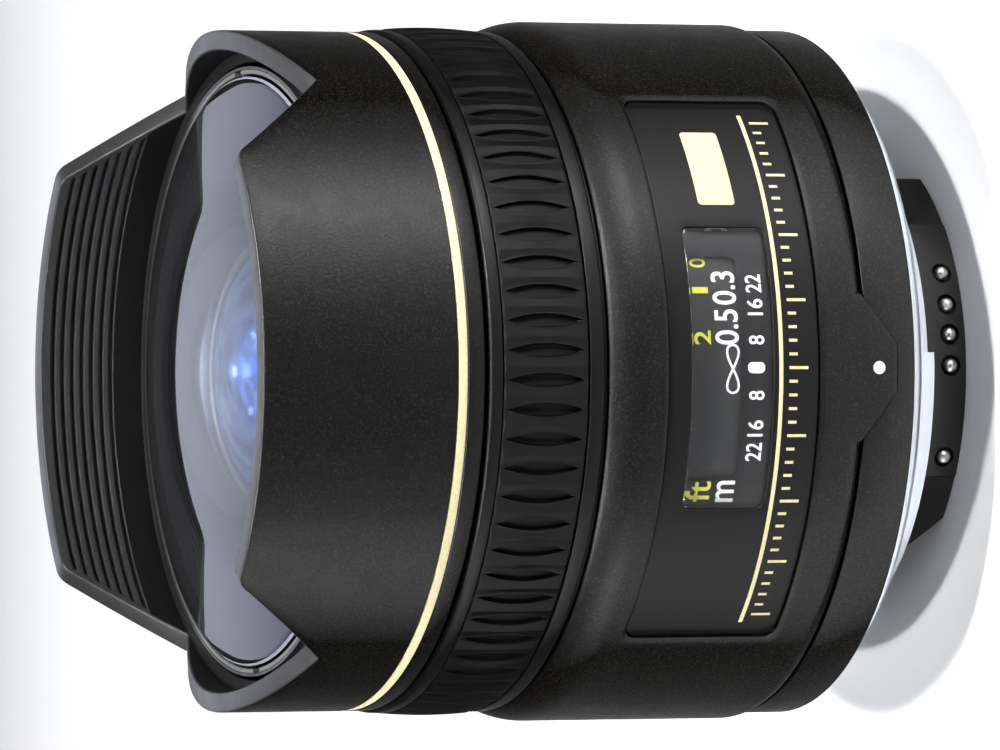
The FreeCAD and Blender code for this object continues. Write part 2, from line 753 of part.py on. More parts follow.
# Focus ring, grip and drum
def focus_ring():
    shell = revolved((ring_bore, ring_rear), (lip_r - LIP_ROUND, ring_rear), (lip_r, ring_rear + LIP_ROUND),
                     (lip_r, grip_rear), (grip_seat_r, grip_rear), (grip_seat_r, grip_front),
                     (lip_r, grip_front), (lip_r, ring_front - LIP_ROUND), (lip_r - LIP_ROUND, ring_front),
                     (ring_bore, ring_front))
    drum_seat = disc(drum_r + FIT, ring_rear - 1, ring_rear + DRUM_SEAT_L)
    holes = [radial_pin(RING_SCREW_R + FIT, cam_bore, grip_seat_r + 1, phi, RING_SCREW_Z)
             for phi in RING_SCREW_PHIS]
    return shell.cut([drum_seat] + holes)


def focus_grip():
    half = GRIP_L / 2 - RUN
    middle = (grip_rear + grip_front) / 2
    edge_r = grip_r - GRIP_CROWN
    band = revolved((grip_seat_r + FIT, middle - half), (edge_r, middle - half),
                    ((grip_r, middle), (edge_r, middle + half)), (grip_seat_r + FIT, middle + half))
    gap_r = grip_r - RIB_GAP_DEPTH
    side = RIB_GAP_W / 2
    tip_low = Vector(0, -gap_r, middle - RIB_GAP_L / 2)
    tip_high = Vector(0, -gap_r, middle + RIB_GAP_L / 2)
    edges = [Part.Arc(tip_low, Vector(side, -gap_r, middle), tip_high).toShape(),
             Part.Arc(tip_high, Vector(-side, -gap_r, middle), tip_low).toShape()]
    boat = Part.Face(Part.Wire(edges)).extrude(Vector(0, -RIB_GAP_DEPTH - 1, 0))
    pitch = 360.0 / RIB_GAPS
    return band.cut([turned_by(boat, RIB_GAP_PHASE + gap * pitch) for gap in range(RIB_GAPS)])


def distance_drum():
    front = ring_rear + DRUM_SEAT_L
    return tube(drum_r, drum_bore, front - DRUM_L, front - FIT)


def cam_ring():
    front = hood_rear - HOOD_GAP
    body = tube(cam_r, cam_bore, CAM_REAR_Z, front)
    slots = []
    for turn in range(CAM_PIN_COUNT):
        shift = 360.0 * turn / CAM_PIN_COUNT
        slots.append(cam_slot(FRONT_PIN_PHI + shift, FRONT_PIN_Z, FRONT_TRAVEL))
        slots.append(cam_slot(REAR_PIN_PHI + shift, REAR_PIN_Z, FRONT_TRAVEL * REAR_SHARE))
    stop_gap = math.degrees((STOP_R + RUN) / cam_bore)
    slots.append(sector(cam_r + 1, cam_bore - 1, STOP_Z - STOP_R - RUN, STOP_Z + STOP_R + RUN,
                        STOP_PHI - stop_gap, STOP_PHI + FOCUS_TURN + stop_gap))
    holes = [radial_pin(RING_SCREW_R + FIT, cam_bore - 1, cam_r + 1, phi, RING_SCREW_Z)
             for phi in RING_SCREW_PHIS]
    return body.cut(slots + holes)


def cam_slot(phi, z, travel):
    """Helical slot, as a straight slab tilted to the slot's lead, with a round end at each stop."""
    half_turn = math.radians(FOCUS_TURN / 2)
    reach = cam_r * math.sin(half_turn)
    half_slab = math.hypot(reach, travel / 2)
    width = 2 * (CAM_PIN_R + RUN)
    depth = cam_r - cam_bore * math.cos(half_turn) + 2
    slab = Part.makeBox(2 * half_slab, depth, width, Vector(-half_slab, -cam_r - 1, -width / 2))
    slab.rotate(ORIGIN, Vector(0, 1, 0), -math.degrees(math.atan2(travel / 2, reach)))
    slab.translate(Vector(0, 0, z + travel / 2))
    slab.rotate(ORIGIN, AXIS, phi + FOCUS_TURN / 2)
    ends = [radial_pin(CAM_PIN_R + RUN, cam_bore - 2, cam_r + 2, phi, z),
            radial_pin(CAM_PIN_R + RUN, cam_bore - 2, cam_r + 2, phi + FOCUS_TURN, z + travel)]
    return slab.fuse(ends)


def cam_pins(phi, z, inner_r):
    outer = cam_r - CAM_PIN_SUNK
    return [radial_pin(CAM_PIN_R, inner_r, outer, phi + 360.0 * turn / CAM_PIN_COUNT, z)
            for turn in range(CAM_PIN_COUNT)]


def cam_pin_holes(phi, z, inner_r):
    return [radial_pin(CAM_PIN_R + FIT, inner_r - 1, sleeve_r + 1, phi + 360.0 * turn / CAM_PIN_COUNT, z)
            for turn in range(CAM_PIN_COUNT)]


def focus_ring_screws():
    return [radial_pin(RING_SCREW_R, cam_bore + RUN, grip_seat_r - FIT, phi, RING_SCREW_Z)
            for phi in RING_SCREW_PHIS]


# Fixed barrel: foot on the mount, waist round the gear, guide tube with straight slots
def fixed_barrel():
    waist_top = foot_front + TUBE_WAIST_L
    foot_r = spigot_bore - RUN
    neck_r = cover_lip_bore - FIT
    pocket_top = bearing_top + RUN
    body = revolved((foot_bore, FLANGE_T + FIT), (neck_r, FLANGE_T + FIT), (neck_r, foot_rear + FIT),
                    (foot_r, foot_rear + FIT), (foot_r, foot_front), (waist_r, foot_front),
                    (waist_r, waist_top), (tube_r, waist_top), (tube_r, tube_front),
                    (tube_bore, tube_front), (tube_bore, pocket_top), (waist_bore, pocket_top),
                    (waist_bore, foot_front), (foot_bore, foot_front))
    cuts = [disc(foot_bore + RETAINER_SEAT, foot_front - RETAINER_T, foot_front + FIT)]
    pin_room = CAM_PIN_R + RUN
    for turn in range(CAM_PIN_COUNT):
        shift = 360.0 * turn / CAM_PIN_COUNT
        cuts += straight_slot(FRONT_PIN_PHI + shift, FRONT_PIN_Z, FRONT_TRAVEL, pin_room)
        cuts += straight_slot(REAR_PIN_PHI + shift, REAR_PIN_Z, FRONT_TRAVEL * REAR_SHARE, pin_room)
    cuts.append(radial_pin(STOP_R + FIT, tube_bore - 1, tube_r + 1, STOP_PHI, STOP_Z))
    for phi in SET_SCREW_PHIS:
        cuts.append(radial_pin(SET_SCREW_R + FIT, tube_r - SET_SCREW_BITE, tube_r + 1, phi, gold_mid))
    pinion_room = MODULE * PINION_TEETH / 2 + TOOTH_TIP + SLIDE
    cuts.append(axial_pin(pinion_room, foot_front - FIT, bearing_low, af_circle, AF_PHI))
    cuts.append(axial_pin(bush_r + FIT, FLANGE_T - 1, foot_front + 1, af_circle, AF_PHI))
    bearing_gap = math.degrees(FIT / waist_bore)
    cuts.append(sector(waist_r, bearing_in_r - 1, bearing_low, pocket_top + FIT,
                       AF_PHI - BEARING_HALF - bearing_gap, AF_PHI + BEARING_HALF + bearing_gap))
    for phi in MOUNT_SCREW_PHIS:
        screw_end = MOUNT_SCREW_L + RUN
        cuts.append(axial_pin(MOUNT_SCREW_R + FIT, FLANGE_T - 1, screw_end, screw_circle, phi))
    return body.cut(cuts)


def straight_slot(phi, z, travel, half_width):
    """Slot along the axis with round ends, through the guide tube."""
    ends = [radial_pin(half_width, tube_bore - 1, tube_r + 1, phi, z),
            radial_pin(half_width, tube_bore - 1, tube_r + 1, phi, z + travel)]
    return ends + [radial_block(2 * half_width, z, z + travel, tube_bore - 1, tube_r + 1, phi)]


def focus_stop():
    return radial_pin(STOP_R, tube_bore + FIT, cam_r - CAM_PIN_SUNK, STOP_PHI, STOP_Z)


# Autofocus drive
def focus_gear():
    """Toothed segment inside the rear end of the cam ring."""
    low = CAM_REAR_Z - GEAR_T
    pitch_r = MODULE * gear_teeth / 2
    root_r = pitch_r + TOOTH_ROOT
    tip_r = pitch_r - TOOTH_TIP
    pitch = 360.0 / gear_teeth
    turn = FOCUS_TURN / 2
    half = pitch * GEAR_SECTOR_TEETH / 2
    middle = AF_PHI + turn
    body = sector(cam_r, root_r, low, CAM_REAR_Z - FIT, middle - half, middle + half)
    count = int(half / pitch)
    teeth = []
    first = AF_PHI + pitch / 2
    start = math.ceil((middle - half + pitch - first) / pitch)
    for index in range(start, start + 2 * count - 1):
        teeth.append(gear_tooth(first + index * pitch, root_r, tip_r, low))
    return joined(body, *teeth)


def gear_tooth(phi, root_r, tip_r, low):
    """Internal tooth, narrower at the tip, rooted a little way into the rim."""
    back_r = root_r + TOOTH_TIP
    corners = [Vector(-TOOTH_ROOT_HALF, -back_r, low), Vector(TOOTH_ROOT_HALF, -back_r, low),
               Vector(TOOTH_ROOT_HALF, -root_r, low), Vector(TOOTH_TIP_HALF, -tip_r, low),
               Vector(-TOOTH_TIP_HALF, -tip_r, low), Vector(-TOOTH_ROOT_HALF, -root_r, low)]
    tooth = Part.Face(Part.makePolygon(corners + corners[:1])).extrude(Vector(0, 0, GEAR_T - FIT))
    return turned_by(tooth, phi)


def af_pinion():
    pitch_r = MODULE * PINION_TEETH / 2
    root_r = pitch_r - TOOTH_ROOT
    tip_r = pitch_r + TOOTH_TIP
    low = CAM_REAR_Z - GEAR_T
    body = disc(root_r, low, CAM_REAR_Z - FIT)
    corners = [Vector(-TOOTH_ROOT_HALF, 0, low), Vector(TOOTH_ROOT_HALF, 0, low),
               Vector(TOOTH_ROOT_HALF, -root_r, low), Vector(TOOTH_TIP_HALF, -tip_r, low),
               Vector(-TOOTH_TIP_HALF, -tip_r, low), Vector(-TOOTH_ROOT_HALF, -root_r, low)]
    tooth = Part.Face(Part.makePolygon(corners + corners[:1])).extrude(Vector(0, 0, GEAR_T - FIT))
    teeth = [turned_by(tooth, index * 360.0 / PINION_TEETH) for index in range(PINION_TEETH)]
    pinion = joined(body, *teeth).cut(disc(AF_SHAFT_R + FIT, low - 1, CAM_REAR_Z + 1))
    pinion.translate(Vector(0, -af_circle, 0))
    return turned_by(pinion, AF_PHI)


def af_coupling():
    """Shaft with the slotted head that the camera's screwdriver turns."""
    head = axial_pin(AF_HEAD_R, AF_HEAD_SUNK, AF_HEAD_SUNK + AF_HEAD_T, af_circle, AF_PHI)
    shaft = axial_pin(AF_SHAFT_R, AF_HEAD_SUNK, bearing_top, af_circle, AF_PHI)
    slot = radial_block(AF_SLOT_W, 0, AF_HEAD_SUNK + AF_SLOT_DEPTH, af_circle - AF_HEAD_R - 1,
                        af_circle + AF_HEAD_R + 1, AF_PHI)
    return joined(head, shaft).cut(slot)


def af_bush():
    body = axial_pin(bush_r, AF_BUSH_SUNK, AF_HEAD_SUNK + AF_HEAD_T + RUN + AF_BUSH_WALL, af_circle, AF_PHI)
    bore = axial_pin(AF_HEAD_R + RUN, AF_BUSH_SUNK - 1, AF_HEAD_SUNK + AF_HEAD_T + RUN, af_circle, AF_PHI)
    neck = axial_pin(AF_SHAFT_R + RUN, 0, CAM_REAR_Z, af_circle, AF_PHI)
    return body.cut([bore, neck])


def af_bearing_bracket():
    plate = sector(waist_r - FIT, bearing_in_r, bearing_low + FIT, bearing_top,
                   AF_PHI - BEARING_HALF, AF_PHI + BEARING_HALF)
    return plate.cut(axial_pin(AF_SHAFT_R + RUN, bearing_low - 1, bearing_top + 1, af_circle, AF_PHI))


# Aperture linkage
def aperture_ring():
    ring = tube(foot_bore - SLIDE, ap_ring_in_r, ap_low, ap_low + AP_RING_T)
    lever = sector(lever_in_r + LEVER_WALL, lever_in_r, -LEVER_REACH, ap_low + FIT,
                   LEVER_PHI - LEVER_HALF, LEVER_PHI + LEVER_HALF)
    return joined(ring, lever)


def aperture_arm():
    """Flat bar that stands on the aperture ring and reaches into the iris fork."""
    low = ap_low + AP_RING_T
    return radial_block(ARM_W, low, ARM_TOP, arm_in_r, arm_out_r, LEVER_PHI)


def aperture_ring_retainer():
    inner = foot_bore + RETAINER_SEAT - RETAINER_W
    return tube(foot_bore + RETAINER_SEAT - FIT, inner, foot_front - RETAINER_T + FIT, foot_front)


def aperture_spring():
    """Coil spring laid along the foot, hooked to the aperture ring."""
    length = SPRING_TURNS * SPRING_PITCH
    helix = Part.makeHelix(SPRING_PITCH, length, SPRING_R)
    start = Vector(SPRING_R, 0, 0)
    profile = Part.Wire([Part.makeCircle(SPRING_WIRE, start, Vector(0, 1, 0))])
    coil = Part.Wire(helix).makePipeShell([profile], True, True)
    coil.rotate(ORIGIN, Vector(0, 1, 0), 90)
    coil.translate(Vector(-length / 2, -spring_circle, foot_front + SPRING_R + SPRING_WIRE + FIT))
    return turned_by(coil, SPRING_PHI)


# Front group: cell, glass and rings
def front_element():
    back_rim = FRONT_BACK_Z - sag(FRONT_BACK_R, FRONT_BACK_CLEAR)
    dome_top = FRONT_RIM_Z + sag(FRONT_DOME_R, front_rim_r)
    return revolved((0, dome_top), lens_arc(dome_top, FRONT_DOME_R, 0, front_rim_r),
                    (front_rim_r, FRONT_STEP_Z), (front_edge_r, FRONT_STEP_Z),
                    (front_edge_r, FRONT_STEP_Z - FRONT_EDGE_L), (front_foot_r, back_rim),
                    (FRONT_BACK_CLEAR, back_rim), lens_arc(FRONT_BACK_Z, FRONT_BACK_R, FRONT_BACK_CLEAR, 0))


def front_cell():
    seat_z = FRONT_BACK_Z - sag(FRONT_BACK_R, FRONT_BACK_CLEAR) - FIT
    shoulder = tube_front + HOOD_GAP
    boss_r = SECOND_R + BOSS_WALL
    floor_z = seat_z - CELL_FLOOR_T
    boss_low = second_seat - BOSS_L / 2
    thread_r = front_edge_r + CELL_WALL / 2 + FIT
    seat_r = front_edge_r + FIT
    cell_top = FRONT_RIM_Z - RETAIN_TOP
    spigot_out = sleeve_bore - FIT
    spigot_in = spigot_out - SLEEVE_WALL
    spigot_low = floor_z - SLEEVE_SEAT_L
    edge_low = FRONT_STEP_Z - FRONT_EDGE_L
    return revolved((cell_r, shoulder), (cell_r, cell_top), (thread_r, cell_top),
                    (thread_r, FRONT_STEP_Z), (seat_r, FRONT_STEP_Z), (seat_r, edge_low),
                    (front_foot_r + FIT, seat_z), (SECOND_R + FIT, seat_z),
                    (SECOND_R + FIT, second_seat), (inner_cell_r + FIT, second_seat),
                    (inner_cell_r + FIT, boss_low), (boss_r, boss_low), (boss_r, floor_z),
                    (spigot_in, floor_z), (spigot_in, spigot_low), (spigot_out, spigot_low),
                    (spigot_out, floor_z), (sleeve_r, floor_z), (sleeve_r, shoulder))


def front_retaining_ring():
    outer = front_edge_r + CELL_WALL / 2
    top = FRONT_RIM_Z - RETAIN_TOP + FIT
    ring = tube(outer, front_rim_r + RETAIN_LIP, FRONT_STEP_Z + FIT, top)
    slots = [radial_block(SPANNER_W, top - SPANNER_DEPTH, top + SPANNER_DEPTH, front_rim_r,
                          outer + RETAIN_LIP, SPANNER_PHI + turn)
             for turn in (0, 180)]
    return ring.cut(slots)


def second_element():
    return lens(SECOND_R, SECOND_TOP, SECOND_TOP_R, SECOND_TOP_CLEAR,
                SECOND_BACK, SECOND_BACK_R, SECOND_BACK_CLEAR)


def second_element_ring():
    rim = SECOND_TOP - sag(SECOND_TOP_R, SECOND_TOP_CLEAR)
    return tube(SECOND_R, SECOND_TOP_CLEAR + FIT, rim + FIT, rim + SECOND_RING_T)


def inner_cell():
    low = second_seat - INNER_CELL_L
    step = doublet_back_rim - FIT
    shelf = DOUBLET_R - SPACER_WALL
    top = second_seat - RUN
    bore = DOUBLET_R + FIT
    return revolved((inner_cell_r, low), (inner_cell_r, top), (bore, top), (bore, step),
                    (shelf, step), (shelf, low))


def front_doublet():
    clear = doublet_clear
    first = lens(DOUBLET_R, DOUBLET_TOP, DOUBLET_TOP_R, clear, DOUBLET_MID + CEMENT, DOUBLET_MID_R, clear)
    second = lens(DOUBLET_R, DOUBLET_MID, DOUBLET_MID_R, clear, doublet_back, DOUBLET_BACK_R, clear)
    return [first, second]


def inner_cell_ring():
    rim = DOUBLET_TOP - sag(DOUBLET_TOP_R, DOUBLET_R - RIM_CLEAR)
    return tube(DOUBLET_R, DOUBLET_R - SPACER_WALL, rim + FIT, second_seat - RUN)


def front_sleeve():
    seat_z = FRONT_BACK_Z - sag(FRONT_BACK_R, FRONT_BACK_CLEAR) - FIT - CELL_FLOOR_T
    body = tube(sleeve_r, sleeve_bore, seat_z - SLEEVE_L, seat_z - FIT)
    return body.cut(cam_pin_holes(FRONT_PIN_PHI, FRONT_PIN_Z, sleeve_bore))


# Iris
def iris_housing():
    """Cup on the end of the inner cell: plate with the pivot holes, collar, side wall with a window."""
    plate = tube(iris_cup_r, iris_hole_r, iris_top - IRIS_PLATE_T, iris_top - FIT)
    collar_bore = inner_cell_r + FIT
    collar = tube(collar_bore + IRIS_COLLAR_WALL, collar_bore, iris_top - FIT, iris_top + IRIS_COLLAR_L)
    wall = tube(iris_cup_r, iris_ring_r + SLIDE, iris_cover_low, iris_top - IRIS_PLATE_T)
    swing_from = LEVER_PHI - fork_half - SWING_ROOM
    swing_to = LEVER_PHI + LEVER_TURN + fork_half + SWING_ROOM
    window = sector(iris_cup_r + 1, iris_ring_r - 1, iris_ring_low - SLIDE,
                    iris_ring_low + IRIS_RING_T + SLIDE, swing_from, swing_to)
    plate_low = iris_top - IRIS_PLATE_T
    holes = [axial_pin(BLADE_PIN_R + RUN, plate_low - 1, iris_top + 1, blade_pivot_r, blade_phi(index))
             for index in range(BLADE_COUNT)]
    return joined(plate, wall, collar).cut([window] + holes)


def iris_cover():
    return tube(iris_ring_r + SLIDE - FIT, iris_hole_r, iris_cover_low, iris_cover_low + IRIS_COVER_T)


def blade_phi(index):
    return index * 360.0 / BLADE_COUNT


def iris_ring():
    """Ring with one cam slot for each blade's tail pin and the fork that the arm drives."""
    ring = tube(iris_ring_r, iris_ring_in_r, iris_ring_low, iris_ring_low + IRIS_RING_T)
    ring_top = iris_ring_low + IRIS_RING_T
    tab = radial_block(FORK_W, iris_ring_low, ring_top, iris_ring_r - 1, fork_reach, LEVER_PHI)
    fork = radial_block(ARM_W + 2 * RUN, iris_ring_low - 1, ring_top + 1, arm_in_r - 4 * RUN,
                        fork_reach + 1, LEVER_PHI)
    slots = [cam_track(index) for index in range(BLADE_COUNT)]
    return joined(ring, tab).cut([fork] + slots)


def tail_point(share):
    """Place of a blade's tail pin in the iris ring, from closed (0) to wide open (1)."""
    swing = math.radians(BLADE_SWING * share)
    pivot = Vector(blade_pivot_r, 0, 0)
    rest = tail_at_rest() - pivot
    moved = Vector(rest.x * math.cos(swing) + rest.y * math.sin(swing),
                   -rest.x * math.sin(swing) + rest.y * math.cos(swing), 0) + pivot
    back = math.radians(-LEVER_TURN * share)
    return Vector(moved.x * math.cos(back) - moved.y * math.sin(back),
                  moved.x * math.sin(back) + moved.y * math.cos(back), 0)


def tail_at_rest():
    """Tail pin with the blade closed: the open blade's tail point swung about the pivot."""
    swing = math.radians(BLADE_SWING)
    pivot = Vector(blade_pivot_r, 0, 0)
    tail = Vector(0, -blade_tail, 0)
    return pivot + Vector(tail.x * math.cos(swing) - tail.y * math.sin(swing),
                          tail.x * math.sin(swing) + tail.y * math.cos(swing), 0)


def cam_track(index):
    """Slot that the tail pin runs in: the pin's width along an arc through three places."""
    room = BLADE_PIN_R + RUN
    low = iris_ring_low - 1
    height = IRIS_RING_T + 2
    places = [tail_point(share) for share in (0.0, 0.5, 1.0)]
    inner = []
    outer = []
    centre = Part.Arc(*places).toShape().Curve.Center
    for place in places:
        away = (place - centre).normalize()
        inner.append(place - away * room)
        outer.append(place + away * room)
    edges = [Part.Arc(*inner).toShape(), Part.makeLine(inner[2], outer[2]),
             Part.Arc(*reversed(outer)).toShape(), Part.makeLine(outer[0], inner[0])]
    track = Part.Face(Part.Wire(edges)).extrude(Vector(0, 0, height))
    ends = [Part.makeCylinder(room, height, place) for place in (places[0], places[2])]
    track = track.fuse(ends)
    track.rotate(ORIGIN, AXIS, blade_phi(index) - 90)
    track.translate(Vector(0, 0, low))
    return track


def iris_blade(index):
    """Curved leaf on its own level, with a pivot pin forward and a tail pin back into the ring."""
    level = iris_top - IRIS_PLATE_T - BLADE_STEP * (index + 1)
    outer = iris_open_r + blade_band
    leaf = sector(outer, iris_open_r, level, level + BLADE_T, 90, 90 + BLADE_SPAN)
    pivot = Vector(blade_pivot_r, 0, level)
    tail = Vector(blade_pivot_r, -blade_tail, level)
    ear = Part.makeCylinder(BLADE_EAR_R, BLADE_T, pivot)
    heel = Part.makeCylinder(BLADE_EAR_R, BLADE_T, tail)
    strap = Part.makeBox(2 * BLADE_EAR_R, blade_tail, BLADE_T,
                         Vector(blade_pivot_r - BLADE_EAR_R, -blade_tail, level))
    root = Part.makeBox(blade_pivot_r - iris_open_r - BLADE_EAR_R, 2 * BLADE_EAR_R, BLADE_T,
                        Vector(iris_open_r + BLADE_EAR_R, -BLADE_EAR_R, level))
    pivot_pin = Part.makeCylinder(BLADE_PIN_R, iris_top - RUN - level, pivot)
    tail_low = iris_ring_low + RUN
    tail_foot = Vector(blade_pivot_r, -blade_tail, tail_low)
    tail_pin = Part.makeCylinder(BLADE_PIN_R, level - tail_low + FIT, tail_foot)
    blade = joined(leaf, ear, heel, strap, root, pivot_pin, tail_pin)
    blade.rotate(pivot, AXIS, BLADE_SWING)
    blade.rotate(ORIGIN, AXIS, blade_phi(index) - 90)
    return blade


# Rear group
def rear_cell():
    low_bore = REAR_LENS_R + FIT
    high_bore = STOP_LENS_R + FIT
    neck_r = REAR_CELL_R - SPACER_WALL
    return revolved((REAR_CELL_R, REAR_CELL_FOOT), (REAR_CELL_R, hub_top), (neck_r, hub_top),
                    (neck_r, REAR_CELL_TOP), (high_bore, REAR_CELL_TOP), (high_bore, REAR_CELL_STEP_Z),
                    (low_bore, REAR_CELL_STEP_Z), (low_bore, REAR_CELL_FOOT))


def rear_carrier():
    """Guide rim, web and hub that carry the rear cell in the fixed barrel."""
    rim = tube(sleeve_r, sleeve_r - CARRIER_RIM_WALL, CARRIER_REAR_Z, CARRIER_REAR_Z + CARRIER_RIM_L)
    web_low = CARRIER_REAR_Z + CARRIER_RIM_L - CARRIER_WEB_T
    web = tube(sleeve_r - CARRIER_RIM_WALL / 2, REAR_CELL_R + FIT, web_low, web_low + CARRIER_WEB_T)
    hub = tube(REAR_CELL_R + HUB_WALL, REAR_CELL_R + FIT, CARRIER_REAR_Z, hub_top)
    swing_from = LEVER_PHI - LEVER_HALF - SWING_ROOM
    swing_to = LEVER_PHI + LEVER_TURN + LEVER_HALF + SWING_ROOM
    window = sector(arm_out_r + SWING_ROOM / 2, arm_in_r - SWING_ROOM / 2, web_low - 1,
                    web_low + CARRIER_WEB_T + 1, swing_from, swing_to)
    holes = cam_pin_holes(REAR_PIN_PHI, REAR_PIN_Z, sleeve_r - CARRIER_RIM_WALL)
    return joined(rim, web, hub).cut([window] + holes)


def stop_side_element():
    clear = STOP_LENS_R - RIM_CLEAR
    back = STOP_LENS_TOP - sag(STOP_LENS_TOP_R, clear) - STOP_LENS_EDGE + sag(STOP_LENS_BACK_R, clear)
    return lens(STOP_LENS_R, STOP_LENS_TOP, STOP_LENS_TOP_R, clear, back, STOP_LENS_BACK_R, clear)


def middle_doublet():
    clear = STOP_LENS_R - RIM_CLEAR
    first = lens(STOP_LENS_R, MIDDLE_TOP, MIDDLE_TOP_R, clear, MIDDLE_MID + CEMENT, MIDDLE_MID_R, clear)
    second = lens(STOP_LENS_R, MIDDLE_MID, MIDDLE_MID_R, clear, middle_back, MIDDLE_BACK_R, clear)
    return [first, second]


def rear_doublet():
    clear = REAR_LENS_R - RIM_CLEAR
    first = lens(REAR_LENS_R, REAR_TOP, REAR_TOP_R, clear, rear_mid + CEMENT, REAR_MID_R, clear)
    second = lens(REAR_LENS_R, rear_mid, REAR_MID_R, clear, rear_back, REAR_BACK_R, clear)
    return [first, second]


def rear_element():
    clear = REAR_LENS_R - RIM_CLEAR
    return lens(REAR_LENS_R, LAST_TOP, LAST_TOP_R, clear, last_back, LAST_BACK_R, clear)


def rear_spacers():
    """Three rings that hold the rear glass apart at its margins."""
    small = STOP_LENS_R
    large = REAR_LENS_R
    stop_rim = STOP_LENS_TOP - sag(STOP_LENS_TOP_R, small - RIM_CLEAR) - STOP_LENS_EDGE
    middle_rim = MIDDLE_TOP - sag(MIDDLE_TOP_R, small - RIM_CLEAR)
    rear_rim = REAR_TOP - sag(REAR_TOP_R, large - RIM_CLEAR)
    middle_low = middle_back - sag(MIDDLE_BACK_R, small - RIM_CLEAR)
    last_rim = LAST_TOP - sag(LAST_TOP_R, large - RIM_CLEAR)
    back_rim = rear_back - sag(REAR_BACK_R, large - RIM_CLEAR)
    rings = [tube(small, small - SPACER_WALL, middle_rim + FIT, stop_rim - FIT),
             tube(small, small - SPACER_WALL, REAR_CELL_STEP_Z + FIT, middle_low - FIT),
             tube(large, large - SPACER_WALL, rear_rim + FIT, REAR_CELL_STEP_Z - FIT),
             tube(large, large - SPACER_WALL, last_rim + FIT, back_rim - FIT)]
    return rings


def filter_holder():
    """Plate behind the rear element with two rails for a cut gelatin filter."""
    top = REAR_CELL_FOOT - FIT
    plate = tube(HOLDER_R, HOLDER_WINDOW, top - HOLDER_T, top)
    lip = tube(REAR_LENS_R, REAR_LENS_R - SPACER_WALL, top - FIT, last_low - FIT)
    rails = []
    for side in (-1, 1):
        upright = Part.makeBox(HOLDER_RAIL_W, HOLDER_RAIL_L, HOLDER_RAIL_H + FIT,
                               Vector(side * HOLDER_RAIL_X - HOLDER_RAIL_W / 2, -HOLDER_RAIL_L / 2,
                                      top - HOLDER_T - HOLDER_RAIL_H))
        rails.append(upright)
    return joined(plate, lip, *rails)


# Places that several pieces share
gear_teeth = int(round(2 * cam_bore / MODULE))
af_circle = MODULE * (gear_teeth - PINION_TEETH) / 2
bearing_in_r = af_circle - BEARING_REACH
flex_r = baffle_r - BAFFLE_WALL - FLEX_T - FIT
board_in_r = foot_bore + RETAINER_SEAT - RUN * 4
board_top = foot_front + BOARD_T
spigot_bore = main_bore - FIT - SPIGOT_WALL
panel_floor = MAIN_R - PANEL_DEPTH
panel_low = main_rear + PANEL_REAR + MAIN_REAR_ROUND - MAIN_REAR_DROP - SPLIT_GAP
panel_plate_half = PANEL_HALF - math.degrees(PANEL_GAP / MAIN_R)
window_low = panel_low + WINDOW_REAR
dot_z = main_rear - DOT_BACK
gold_mid = hood_rear + GOLD_Z + GOLD_W / 2
ring_bore = cam_r + FIT
grip_seat_r = grip_r - GRIP_T
bearing_low = CAM_REAR_Z + RUN
bearing_top = bearing_low + BEARING_T
ap_low = FLANGE_T + AP_RING_FLOAT
bush_r = AF_HEAD_R + RUN + AF_BUSH_WALL
spring_circle = foot_bore + 2 * SPRING_R
second_seat = SECOND_BACK - sag(SECOND_BACK_R, SECOND_BACK_CLEAR) - FIT
doublet_clear = DOUBLET_R - RIM_CLEAR
doublet_back_rim = DOUBLET_MID - sag(DOUBLET_MID_R, doublet_clear) - DOUBLET_EDGE
doublet_back = doublet_back_rim + sag(DOUBLET_BACK_R, doublet_clear)
iris_top = second_seat - INNER_CELL_L
iris_cup_r = iris_ring_r + IRIS_CUP_WALL
iris_ring_low = iris_top - IRIS_PLATE_T - BLADE_STEP * (BLADE_COUNT + 1) - IRIS_RING_T
iris_cover_low = iris_ring_low - SLIDE - IRIS_COVER_T
fork_half = math.degrees(FORK_W / 2 / iris_ring_r)
hub_top = CARRIER_REAR_Z + CARRIER_RIM_L
middle_clear = STOP_LENS_R - RIM_CLEAR
middle_low = MIDDLE_MID - sag(MIDDLE_MID_R, middle_clear) - MIDDLE_EDGE
middle_back = middle_low + sag(MIDDLE_BACK_R, middle_clear)
rear_clear = REAR_LENS_R - RIM_CLEAR
rear_mid = REAR_TOP - sag(REAR_TOP_R, rear_clear) - REAR_EDGE + sag(REAR_MID_R, rear_clear)
rear_back = rear_mid - sag(REAR_MID_R, rear_clear) - REAR_BACK_EDGE + sag(REAR_BACK_R, rear_clear)
last_low = LAST_TOP - sag(LAST_TOP_R, rear_clear) - LAST_EDGE
last_back = last_low + sag(LAST_BACK_R, rear_clear)

export("bayonet_mount", bayonet_mount())
export("mount_screws", *mount_screws())
export("rear_baffle", rear_baffle())
export("contact_block", contact_block())
export("contact_pins", *contact_pins())
export("contact_flex", contact_flex())
export("circuit_board", circuit_board())
export("rear_cover", rear_cover())
export("main_barrel", main_barrel())
export("name_panel", name_panel())
export("scale_window", scale_window())
export("mount_index_dot", mount_index_dot())
export("fixed_barrel", fixed_barrel())
export("hood_barrel", hood_barrel())
export("hood_set_screws", *hood_set_screws())
export("gold_ring", gold_ring())
export("focus_stop", focus_stop())
export("focus_ring", focus_ring())
export("focus_grip", focus_grip())
export("distance_drum", distance_drum())
export("cam_ring", cam_ring())
export("focus_ring_screws", *focus_ring_screws())
export("focus_gear", focus_gear())
export("af_pinion", af_pinion())
export("af_coupling", af_coupling())
export("af_bush", af_bush())
export("af_bearing_bracket", af_bearing_bracket())
export("aperture_ring", aperture_ring())
export("aperture_arm", aperture_arm())
export("aperture_ring_retainer", aperture_ring_retainer())
export("aperture_spring", aperture_spring())
export("front_element", front_element())
export("front_cell", front_cell())
export("front_retaining_ring", front_retaining_ring())
export("second_element", second_element())
